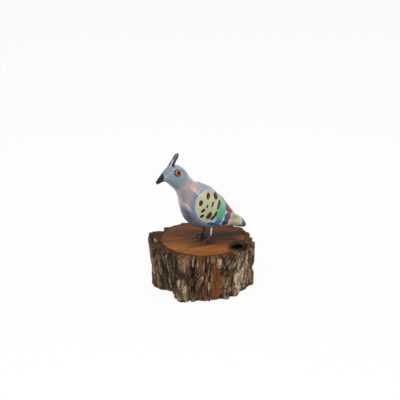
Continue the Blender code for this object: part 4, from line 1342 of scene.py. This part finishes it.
@dataclass
class Pigeon:
    """The clay bird: one smooth form through its cross-sections, with wings in low relief and a crest.

    Lengths are in millimetres, and heights are above the belly. A section holds the x and height of its
    top, the x and height of its bottom, its half width and its fullness. The ray that finds an eye's seat
    starts outside the head, at a place in metres.
    """

    sections: tuple = (
        (35.8, -1.0, 35.3, -3.6, 2.4, 0.0),
        (34.5, 1.4, 33.4, -4.1, 4.4, 0.0),
        (31.4, 4.8, 29.2, -3.0, 5.7, 0.0),
        (27.0, 8.2, 22.9, -1.5, 6.9, 0.0),
        (23.0, 13.3, 13.2, -0.5, 8.9, -0.05),
        (18.5, 19.6, 2.6, 0.0, 11.3, -0.08),
        (12.7, 25.8, -6.0, 2.2, 12.8, -0.08),
        (6.1, 31.6, -12.6, 6.9, 12.9, -0.08),
        (-1.5, 35.6, -16.2, 12.0, 11.6, -0.06),
        (-7.0, 39.2, -18.0, 18.1, 9.6, -0.04),
        (-10.6, 43.5, -19.0, 22.6, 8.3, 0.0),
        (-14.4, 49.2, -19.9, 27.2, 7.7, 0.1),
        (-19.0, 53.3, -21.2, 31.4, 7.6, 0.18),
        (-24.2, 54.0, -23.6, 35.2, 7.2, 0.18),
        (-28.6, 52.6, -26.8, 38.6, 6.0, 0.1),
        (-31.5, 50.2, -29.4, 41.2, 4.3, 0.0),
        (-32.9, 48.6, -31.0, 42.2, 3.1, 0.0),
        (-34.4, 46.8, -32.7, 42.2, 2.4, 0.0),
        (-36.4, 44.6, -34.8, 41.4, 1.8, 0.0),
        (-37.9, 42.6, -36.8, 40.6, 1.2, 0.0),
    )
    wing_outline: tuple = (
        (-5.6, 44.0), (-7.0, 36.0), (-8.4, 30.0), (-10.3, 24.0), (-10.1, 17.4), (-6.4, 11.0), (0.2, 6.2),
        (7.6, 3.0), (15.4, 1.0), (21.4, 2.8), (23.4, 9.6), (22.0, 17.0), (20.4, 24.0), (18.0, 40.0),
        (4.0, 58.0),
    )
    wing_middle: tuple = (5.0, 20.0)
    wing_thickness: float = 1.5
    wing_tip_thickness: float = 0.8
    wing_rim_y: float = 9.0
    wing_rim_flare: float = 0.45
    wing_gap_at_shoulder: float = 5.0
    wing_gap_at_rump: float = 1.6
    wing_rim_softness: float = 0.38
    wing_front: float = -10.3
    wing_length: float = 33.7
    wing_relief: float = 0.9
    wing_bead: float = 0.16
    wing_bead_place: float = 0.9
    wing_bead_width: float = 0.6
    crest_x: float = -25.7
    crest_length: float = 11.35
    crest_width: float = 3.7
    crest_root_width: float = 4.9
    crest_taper_end: float = 0.45
    crest_tip_start: float = 0.7
    crest_thickness: float = 2.2
    crest_trough: float = 0.35
    crest_trough_width: float = 0.35
    crest_foot: float = 0.5
    crest_foot_height: float = 0.9
    crest_root: float = 2.0
    crest_lean: float = 30.3
    eye_x: float = -22.7
    eye_height: float = 50.2
    eye_radius: float = 2.6
    eye_seat_depth: float = 1.3
    eye_clearance: float = 0.3
    seat_gap: float = 0.12
    seat_lip: float = 0.45
    hand_unevenness: float = 0.1
    hand_marks: float = 7.0
    outside: float = 40 * MM
    sides: int = 192
    parts: tuple[int, int] = (20, 15)

    def rings(self) -> int:
        """How many cross-sections the mesh has."""
        return math.prod(self.parts) + 1

    def spread_sections(self) -> np.ndarray:
        """The cross-sections blended smoothly and spread evenly from tail to beak."""
        rows = [np.array(section) for section in self.sections]
        steps = 24
        dense = []
        for i in range(len(rows) - 1):
            four = (rows[max(i - 1, 0)], rows[i], rows[i + 1], rows[min(i + 2, len(rows) - 1)])
            dense += [through(*four, step / steps) for step in range(steps)]
        dense = np.array(dense + [rows[-1]])
        travel = np.hypot(np.diff(dense[:, 0]), np.diff(dense[:, 1]))
        travel += np.hypot(np.diff(dense[:, 2]), np.diff(dense[:, 3]))
        reach = np.concatenate(([0.0], np.cumsum(travel)))
        even = np.linspace(0.0, reach[-1], self.rings())
        return np.stack([np.interp(even, reach, dense[:, k]) for k in range(dense.shape[1])], axis=1)

    def inside_wing(self, x: np.ndarray, y: np.ndarray, height: np.ndarray) -> np.ndarray:
        """How far inside a wing's outline each point of the body is, in millimetres; outside is negative."""
        corners = [np.array(point) for point in self.wing_outline]
        count, steps = len(corners), 8
        curve = np.array([
            through(*(corners[(i + k) % count] for k in (-1, 0, 1, 2)), step / steps)
            for i in range(count) for step in range(steps)
        ])
        flare = 1.0 + self.wing_rim_flare * (np.abs(y) / self.wing_rim_y - 1.0)
        flat_x = self.wing_middle[0] + (x - self.wing_middle[0]) / flare
        flat_h = self.wing_middle[1] + (height - self.wing_middle[1]) / flare
        nearest = np.full(x.shape, 1e9)
        crossings = np.zeros(x.shape, int)
        for start, end in zip(curve, np.roll(curve, -1, axis=0)):
            side = end - start
            share = ((flat_x - start[0]) * side[0] + (flat_h - start[1]) * side[1]) / (side @ side)
            share = np.clip(share, 0.0, 1.0)
            away = np.hypot(flat_x - start[0] - share * side[0], flat_h - start[1] - share * side[1])
            nearest = np.minimum(nearest, away)
            spans = (start[1] > flat_h) != (end[1] > flat_h)
            if side[1]:
                crossings += spans & (flat_x < start[0] + (flat_h - start[1]) / side[1] * side[0])
        inside = np.where(crossings % 2 == 1, nearest, -nearest)
        front, back = curve[:, 0].min(), curve[:, 0].max()
        along = np.clip((x - front) / (back - front), 0.0, 1.0)
        gap = (self.wing_gap_at_shoulder + (self.wing_gap_at_rump - self.wing_gap_at_shoulder) * along) / 2
        return np.minimum(inside, np.abs(y) - gap)

    def body_points(self, ring: np.ndarray, turn: np.ndarray, with_wings: bool) -> np.ndarray:
        """Places on the body, in metres.

        Args:
            ring: the number of each point's cross-section, from the tail.
            turn: its angle round the section from the top.
            with_wings: whether the wings stand out.

        Returns:
            The points.
        """
        row = self.spread_sections()[ring]
        middle_x, middle_h = (row[:, 0] + row[:, 2]) / 2, (row[:, 1] + row[:, 3]) / 2
        up_x, up_h = (row[:, 0] - row[:, 2]) / 2, (row[:, 1] - row[:, 3]) / 2
        half = np.hypot(up_x, up_h)
        full = 1.0 + row[:, 5] * np.cos(turn)

        def grown(amount: object) -> tuple[np.ndarray, np.ndarray, np.ndarray]:
            """The places when the sections are larger by an amount all round."""
            lift = (1.0 + amount / half) * np.cos(turn)
            return middle_x + up_x * lift, (row[:, 4] + amount) * np.sin(turn) * full, middle_h + up_h * lift

        x, y, height = grown(0.0)
        if with_wings:
            depth = self.inside_wing(x, y, height)
            rise = ease(depth, -self.wing_rim_softness, self.wing_rim_softness)
            bead = np.exp(-(((depth - self.wing_bead_place) / self.wing_bead_width) ** 2))
            share = np.clip((x - self.wing_front) / self.wing_length, 0.0, 1.0)
            thick = self.wing_thickness + (self.wing_tip_thickness - self.wing_thickness) * share
            x, y, height = grown(thick * rise * (1.0 + self.wing_bead * bead) * self.wing_relief)
        return np.stack([x * MM, y * MM + BIRD_Y, height * MM + BELLY_Z], axis=1)

    def loft(self, name: str, with_wings: bool) -> bpy.types.Object:
        """The body as one closed mesh, with a rounded tip on its tail and on its beak."""
        piece = Bench.ringed_cylinder(name, self.sides, self.parts)
        last = self.rings() - 1
        start = Bench.points(piece)
        ring = np.rint(start[:, 2] * last).astype(int)
        turn = np.arctan2(start[:, 1], start[:, 0])
        points = self.body_points(ring, turn, with_wings)
        at_axis = np.hypot(start[:, 0], start[:, 1]) < 0.5
        for end, inner, reach in ((0, 4, 0.7), (last, last - 4, 0.4)):
            centres = [points[(ring == k) & ~at_axis].mean(axis=0) for k in (end, inner)]
            ahead = centres[0] - centres[1]
            tip = centres[0] + ahead / np.linalg.norm(ahead) * reach * MM
            points[at_axis & (ring == end)] = tip
        Bench.place_points(piece, points)
        return piece

    def crest(self, surface: BVHTree) -> bpy.types.Object:
        """The upright crest: a flat finger that leans back, with a shallow trough along each side."""
        root, *_ = surface.ray_cast(Vector((self.crest_x * MM, BIRD_Y, 1.0)), Vector((0, 0, -1)))
        lean = math.radians(self.crest_lean)
        piece = Bench.ringed_cylinder("crest", 64, (60,))
        points = Bench.points(piece)
        length = (self.crest_length + self.crest_root) * points[:, 2] - self.crest_root
        share = np.clip(length / self.crest_length, 0.0, 1.0)
        over = np.clip((share - self.crest_tip_start) / (1.0 - self.crest_tip_start), 0.0, 1.0)
        girth = np.sqrt(1.0 - over**2)
        foot = np.exp(-np.clip(length, 0.0, None) / self.crest_foot_height)
        taper = np.clip(share / self.crest_taper_end, 0.0, 1.0)
        width = (self.crest_root_width + (self.crest_width - self.crest_root_width) * taper) / 2 * girth
        across = np.exp(-((points[:, 0] / self.crest_trough_width) ** 2))
        trough = self.crest_trough * across * ease(share, 0.02, 0.15) * (1.0 - share**3)
        thickness = self.crest_thickness / 2 * girth * (1.0 + self.crest_foot * foot) * (1.0 - trough)
        aside = points[:, 0] * width
        x = root.x / MM + math.sin(lean) * length + math.cos(lean) * aside
        height = root.z / MM + math.cos(lean) * length - math.sin(lean) * aside
        y = BIRD_Y / MM + points[:, 1] * thickness
        Bench.place_points(piece, np.stack([x, y, height], axis=1) * MM)
        Bench.tidy(piece)
        return piece

    def eye_seat(self, surface: BVHTree, side: Side) -> tuple[Vector, Vector]:
        """Where an eye meets the head, and which way it faces."""
        aside = BIRD_Y + side.value * self.outside
        outside = Vector((self.eye_x * MM, aside, self.eye_height * MM + BELLY_Z))
        centre, facing, *_ = surface.ray_cast(outside, Vector((0, -side.value, 0)))
        return centre, facing.normalized()

    def seat_cutter(self, centre: Vector, facing: Vector) -> bpy.types.Object:
        """The round seat of an eye, with a softened lip."""
        piece = Bench.ringed_cylinder("seat_cutter", 72, (14,))
        points = Bench.points(piece)
        height = -self.eye_seat_depth - self.eye_clearance + points[:, 2] * 3.0
        radius = self.eye_radius + self.seat_gap + self.seat_lip * ease(height, -0.7, 0.5) ** 2
        flat = points[:, :2] * radius[:, None]
        turn = np.array(facing.to_track_quat("Z", "Y").to_matrix())
        local = np.column_stack([flat, height]) * MM
        Bench.place_points(piece, local @ turn.T + np.array(centre))
        Bench.tidy(piece)
        return piece

    def surface(self) -> BVHTree:
        """A search tree of the body without its wings."""
        plain = self.loft("plain_body", False)
        shape = bmesh.new()
        shape.from_mesh(plain.data)
        bmesh.ops.recalc_face_normals(shape, faces=shape.faces)
        tree = BVHTree.FromBMesh(shape)
        shape.free()
        bpy.data.objects.remove(plain)
        return tree

    def build(self, effects: Effects, surface: BVHTree) -> bpy.types.Object:
        """Models the bird and paints it.

        Args:
            effects: the shared shader groups.
            surface: the body's surface without its wings.

        Returns:
            The finished piece.
        """
        piece = self.loft("painted_pigeon", True)
        Bench.tidy(piece)
        normals = np.array([tuple(vertex.normal) for vertex in piece.data.vertices])
        points = Bench.points(piece)
        uneven = np.array([noise.fractal(Vector(place) / (self.hand_marks * MM), 1.0, 2.0, 2)
                           for place in points])
        Bench.place_points(piece, points + normals * (uneven * self.hand_unevenness * MM)[:, None])
        Bench.combine(piece, self.crest(surface), "UNION")
        for side in Side:
            Bench.combine(piece, self.seat_cutter(*self.eye_seat(surface, side)), "DIFFERENCE")
        Bench.dress(piece, PaintedClay().material(effects))
        Bench.smooth(piece, 45.0)
        Bench.hand_over(piece, "glazed_clay", "pigeon_body")
        return piece


@dataclass
class GlassEye:
    """A domed glass eye, in millimetres."""

    side: Side
    radius: float = 2.6
    dome: float = 1.1
    seat_depth: float = 1.3
    pupil_shift: tuple[float, float] = (0.3, -0.15)
    stem_steepness: float = 1.6
    stem_fit: float = 0.98
    back_flatness: float = 2.2

    def build(self, effects: Effects, centre: Vector, facing: Vector) -> bpy.types.Object:
        """Models the eye in its seat.

        Args:
            effects: the shared shader groups.
            centre: where the eye meets the head's surface.
            facing: which way it looks.

        Returns:
            The finished piece.
        """
        bpy.ops.mesh.primitive_uv_sphere_add(segments=64, ring_count=40, radius=1.0)
        piece = bpy.context.object
        piece.name = f"{self.side.word}_glass_eye"
        points = Bench.points(piece)
        below = points[:, 2] < 0.0
        flat = points[:, :2] * self.radius
        girth = np.hypot(points[:, 0], points[:, 1])
        wall = np.clip(girth * self.stem_steepness, 0.0, 1.0) / np.maximum(girth, 1e-6)
        flat = np.where(below[:, None], flat * wall[:, None] * self.stem_fit, flat)
        stem = np.maximum(points[:, 2] * self.back_flatness, -1.0) * self.seat_depth
        height = np.where(below, stem, points[:, 2] * self.dome)
        turn = facing.to_track_quat("Z", "Y").to_matrix()
        back = -1.0 if (turn @ Vector((1, 0, 0))).x < 0 else 1.0
        up = -1.0 if (turn @ Vector((0, 1, 0))).z < 0 else 1.0
        iris = np.column_stack([
            flat[:, 0] * back - self.pupil_shift[0], flat[:, 1] * up - self.pupil_shift[1], height])
        local = np.column_stack([flat, height]) * MM
        Bench.place_points(piece, local @ np.array(turn).T + np.array(centre))
        Bench.add_attribute(piece, "iris", iris)
        Bench.tidy(piece, 0.001 * MM)
        Bench.dress(piece, EyeGlass().material(effects))
        Bench.smooth(piece, 50.0)
        Bench.hand_over(piece, "eye_glass", f"{self.side.word}_eye")
        return piece


# How far forward or back each leg meets the wood and the belly
FOOT_X = {Side.LEFT: 3.9, Side.RIGHT: 1.9}
HIP_X = {Side.LEFT: 5.3, Side.RIGHT: 4.8}


@dataclass
class WireLeg:
    """One leg of straight wire with its wound foot, in millimetres."""

    side: Side
    wire: float = 1.5
    toe_wire: float = 0.9
    clearance: float = 0.3
    depth_in_log: float = 6.0
    depth_in_body: float = 3.0
    foot_spread: float = 11.2
    hip_spread: float = 11.4
    front_toe: float = 5.2
    hind_toe: float = 4.4
    arch: float = 0.9
    toe_spread: float = 36.0
    hind_turn: float = 8.0
    turns: float = 2.0
    coil_steps: int = 64
    glue_size: tuple[float, float, float] = (1.9, 1.8, 1.5)
    curl_wire: float = 0.45
    curl_middle: tuple[float, float, float] = (2.9, -0.4, 0.45)
    curl_size: tuple[float, float, float] = (0.95, 0.8, 0.9)
    curl_start: float = 150.0
    curl_turn: float = 330.0
    curl_steps: int = 40
    leg_steps: int = 24
    leg_bend: float = 0.07
    leg_bend_turn: float = 5.0
    toe_steps: int = 22
    claw_start: float = 0.7
    claw_taper: float = 0.6
    side_toe_share: float = 0.9
    coil_start: float = 200.0

    def ends(self, surface: BVHTree) -> tuple[Vector, Vector]:
        """Where the leg meets the wood and the belly."""
        foot_x, hip_x = FOOT_X[self.side], HIP_X[self.side]
        half = self.side.value * MM / 2
        foot = Vector((foot_x * MM, BIRD_Y + half * self.foot_spread, LOG_HEIGHT))
        below = Vector((hip_x * MM, BIRD_Y + half * self.hip_spread, LOG_HEIGHT))
        hip, *_ = surface.ray_cast(below, Vector((0, 0, 1)))
        return foot, hip

    def build_leg(self, surface: BVHTree, metal: bpy.types.Material) -> bpy.types.Object:
        """The straight wire, from its hole in the wood to its hole in the belly.

        Args:
            surface: the body's surface without its wings.
            metal: the wire's finish.

        Returns:
            The finished piece.
        """
        foot, hip = self.ends(surface)
        up = (hip - foot).normalized()
        low, high = foot - up * self.depth_in_log * MM, hip + up * self.depth_in_body * MM
        aside = up.orthogonal().normalized() * (self.leg_bend * MM)
        shares = [i / self.leg_steps for i in range(self.leg_steps + 1)]
        route = [low.lerp(high, share) + aside * math.sin(self.leg_bend_turn * share) for share in shares]
        leg = Bench.wire(f"{self.side.word}_leg_wire", route, [self.wire / 2 * MM] * len(route), 10)
        Bench.dress(leg, metal)
        Bench.smooth(leg)
        Bench.hand_over(leg, "leg_wire", f"{self.side.word}_leg")
        return leg

    def toe(self, name: str, foot: Vector, turn: float, length: float) -> bpy.types.Object:
        """One toe: a wire that arches from the coil to the wood and ends in a claw."""
        radius, wire = self.coil_radius(), self.toe_wire / 2
        heading = Vector((math.cos(math.radians(turn)), math.sin(math.radians(turn)), 0))
        route, radii = [], []
        for i in range(self.toe_steps + 1):
            share = i / self.toe_steps
            claw = 1.0 - self.claw_taper * max(0.0, (share - self.claw_start) / (1.0 - self.claw_start))
            lift = self.clearance + wire * claw + self.arch * math.sin(math.pi * min(1.0, share / 0.75))
            reach = radius * 0.9 + (length - radius * 0.9) * share
            route.append(foot + heading * (reach * MM) + Vector((0, 0, lift * MM)))
            radii.append(wire * claw * MM)
        return Bench.wire(name, route, radii, 4)

    def coil_radius(self) -> float:
        """The radius of the coil's middle line, round the leg."""
        return (self.wire + self.toe_wire) / 2 + self.clearance

    def coil(self, foot: Vector, up: Vector) -> bpy.types.Object:
        """The toe wire wound round the leg, each turn on the last."""
        route = []
        for i in range(self.coil_steps + 1):
            share = i / self.coil_steps
            angle = math.radians(self.coil_start) + 2 * math.pi * self.turns * share
            rise = self.clearance + self.toe_wire * (0.5 + self.turns * share)
            flat = Vector((math.cos(angle), math.sin(angle), 0)) * (self.coil_radius() * MM)
            route.append(foot + up * (rise * MM) + flat)
        return Bench.wire(f"{self.side.word}_foot_wire", route, [self.toe_wire / 2 * MM] * len(route), 4)

    def glue(self, foot: Vector) -> bpy.types.Object:
        """The uneven bead of dark glue where the wires meet the wood."""
        bpy.ops.mesh.primitive_uv_sphere_add(segments=40, ring_count=24, radius=1.0)
        piece = bpy.context.object
        points = Bench.points(piece)
        uneven = np.array([1.0 + 0.3 * noise.noise(Vector(point) * 1.7 + Vector((foot.x / MM, 0, 0)))
                           for point in points])
        shaped = points * uneven[:, None] * np.array(self.glue_size)
        shaped[:, 2] = np.maximum(shaped[:, 2], 0.0) + 0.02
        Bench.place_points(piece, shaped * MM + np.array(foot))
        Bench.tidy(piece)
        return piece

    def curl(self, foot: Vector) -> bpy.types.Object:
        """The fine bright end of the leg wire, curled beside the near foot."""
        route = []
        middle, size = Vector(self.curl_middle), Vector(self.curl_size)
        for i in range(self.curl_steps + 1):
            share = i / self.curl_steps
            turn = math.radians(self.curl_start - self.curl_turn * share)
            on_curl = Vector((math.cos(turn), math.sin(turn), math.sin(math.pi * share)))
            route.append(foot + (middle + on_curl * size) * MM)
        return Bench.wire("curl", route, [self.curl_wire / 2 * MM] * len(route), 3)

    def build_foot(self, surface: BVHTree, metal: bpy.types.Material,
                   bright: bpy.types.Material) -> bpy.types.Object:
        """The wound foot with its glue, and the near foot's bright curl.

        Args:
            surface: the body's surface without its wings.
            metal: the finish of the toes, the coil and the glue.
            bright: the finish of the curl.

        Returns:
            The finished piece, with three toes forward and one back.
        """
        foot, hip = self.ends(surface)
        side, side_toe = self.side.value, self.front_toe * self.side_toe_share
        toes = (
            (180.0, self.front_toe), (180.0 + side * self.toe_spread, side_toe),
            (180.0 - side * self.toe_spread, side_toe), (side * self.hind_turn, self.hind_toe),
        )
        pieces = [self.coil(foot, (hip - foot).normalized()), self.glue(foot)]
        pieces += [self.toe(f"toe_{number}", foot, *toe) for number, toe in enumerate(toes)]
        for piece in pieces:
            Bench.dress(piece, metal)
        if self.side is Side.LEFT:
            pieces.append(self.curl(foot))
            Bench.dress(pieces[-1], bright)
        piece = Bench.join(pieces)
        Bench.smooth(piece)
        Bench.hand_over(piece, "toe_wire", f"{self.side.word}_foot")
        return piece


# Studio

@dataclass
class Studio:
    """The camera, the lamps, the world and the floor. Angles are in degrees, lengths in metres."""

    azimuth: float = -22.0
    elevation: float = 21.5
    distance: float = 1.3
    target: tuple[float, float, float] = (-0.001, 0.0, 0.0687)
    sensor: float = 36.0
    view_width: float = 0.306
    near_clip: float = 0.05
    floor_size: float = 8.0
    floor_white: float = 0.95
    floor_glow: float = 0.9
    sky: float = 0.4

    def build(self) -> None:
        """Builds the studio."""
        self._camera()
        self._world()
        self._floor()
        self._lamp("key", (-0.6, -0.7, 1.0), 0.7, 6.7)
        self._lamp("top", (0.0, -0.13, 1.1), 0.24, 3.2)
        self._lamp("fill", (0.95, -0.65, 0.45), 0.6, 1.8)
        bpy.context.scene.view_settings.view_transform = "Standard"

    def _camera(self) -> None:
        """Looks at the figurine from its left front, a little from above."""
        turn, rise = math.radians(self.azimuth), math.radians(self.elevation)
        away = Vector((math.sin(turn) * math.cos(rise), -math.cos(turn) * math.cos(rise), math.sin(rise)))
        bpy.ops.object.camera_add(location=Vector(self.target) + away * self.distance)
        camera = bpy.context.object
        camera.rotation_euler = (-away).to_track_quat("-Z", "Y").to_euler()
        camera.data.sensor_width = self.sensor
        camera.data.lens = self.sensor * self.distance / self.view_width
        camera.data.clip_start = self.near_clip
        bpy.context.scene.camera = camera

    def _lamp(self, name: str, place: tuple[float, float, float], size: float, power: float) -> None:
        """Adds one soft square lamp that faces the figurine."""
        bpy.ops.object.light_add(type="AREA", location=place)
        lamp = bpy.context.object
        lamp.name = name
        lamp.data.size = size
        lamp.data.energy = power
        lamp.rotation_euler = (Vector(place) - Vector(self.target)).to_track_quat("Z", "Y").to_euler()

    @staticmethod
    def _seen_white(graph: Graph) -> object:
        """1 for rays that show the background itself, straight, in a reflection or through glass."""
        rays = graph.add("LightPath").outputs
        seen = graph.math("MAXIMUM", rays["Is Camera Ray"], rays["Is Glossy Ray"])
        return graph.math("MAXIMUM", seen, rays["Is Transmission Ray"])

    def _world(self) -> None:
        """A plain sky, white where it is seen."""
        world = bpy.data.worlds.new("studio_sky")
        world.use_nodes = True
        bpy.context.scene.world = world
        graph = Graph(world.node_tree)
        seen = self._seen_white(graph)
        back = world.node_tree.nodes["Background"]
        back.inputs["Color"].default_value = (1.0, 1.0, 1.0, 1.0)
        strength = graph.plus(self.sky, graph.times(seen, 1.0 - self.sky))
        graph.feed(back.inputs["Strength"], strength)

    def _floor(self) -> None:
        """A white floor that keeps a faint soft shadow."""
        bpy.ops.mesh.primitive_plane_add(size=self.floor_size)
        floor = bpy.context.object
        floor.name = "studio_floor"
        made, graph, shader = new_material("studio_floor")
        shader.inputs["Base Color"].default_value = (self.floor_white,) * 3 + (1.0,)
        shader.inputs["Roughness"].default_value = 1.0
        shader.inputs["Specular IOR Level"].default_value = 0.0
        glow = graph.add("Emission", {"Color": (1.0, 1.0, 1.0), "Strength": 1.0})
        mixed = graph.add("MixShader", {1: shader.outputs[0], 2: glow.outputs[0]})
        graph.feed(mixed.inputs[0], graph.times(self._seen_white(graph), self.floor_glow))
        graph.feed(made.node_tree.nodes["Material Output"].inputs["Surface"], mixed.outputs[0])
        floor.data.materials.append(made)


def write_sizes() -> None:
    """Brings the scene's placements up to date."""
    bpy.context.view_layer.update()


def main() -> None:
    """Builds the studio and every piece, and reports each one."""
    logging.basicConfig(level=logging.INFO, format="%(message)s")
    Studio().build()
    effects = Effects()
    LogSlice().build(effects)
    pigeon = Pigeon()
    surface = pigeon.surface()
    pigeon.build(effects, surface)
    bright, brown, dark = (wire.material(effects) for wire in (BRIGHT_WIRE, SHADED_FAR_LEG_WIRE, DARK_WIRE))
    for side in Side:
        GlassEye(side).build(effects, *pigeon.eye_seat(surface, side))
        leg = WireLeg(side)
        # The far leg takes the dark, painted-shade copy of the wire
        leg.build_leg(surface, bright if side is Side.LEFT else brown)
        leg.build_foot(surface, dark, bright)
    write_sizes()


if __name__ == "__main__":
    main()
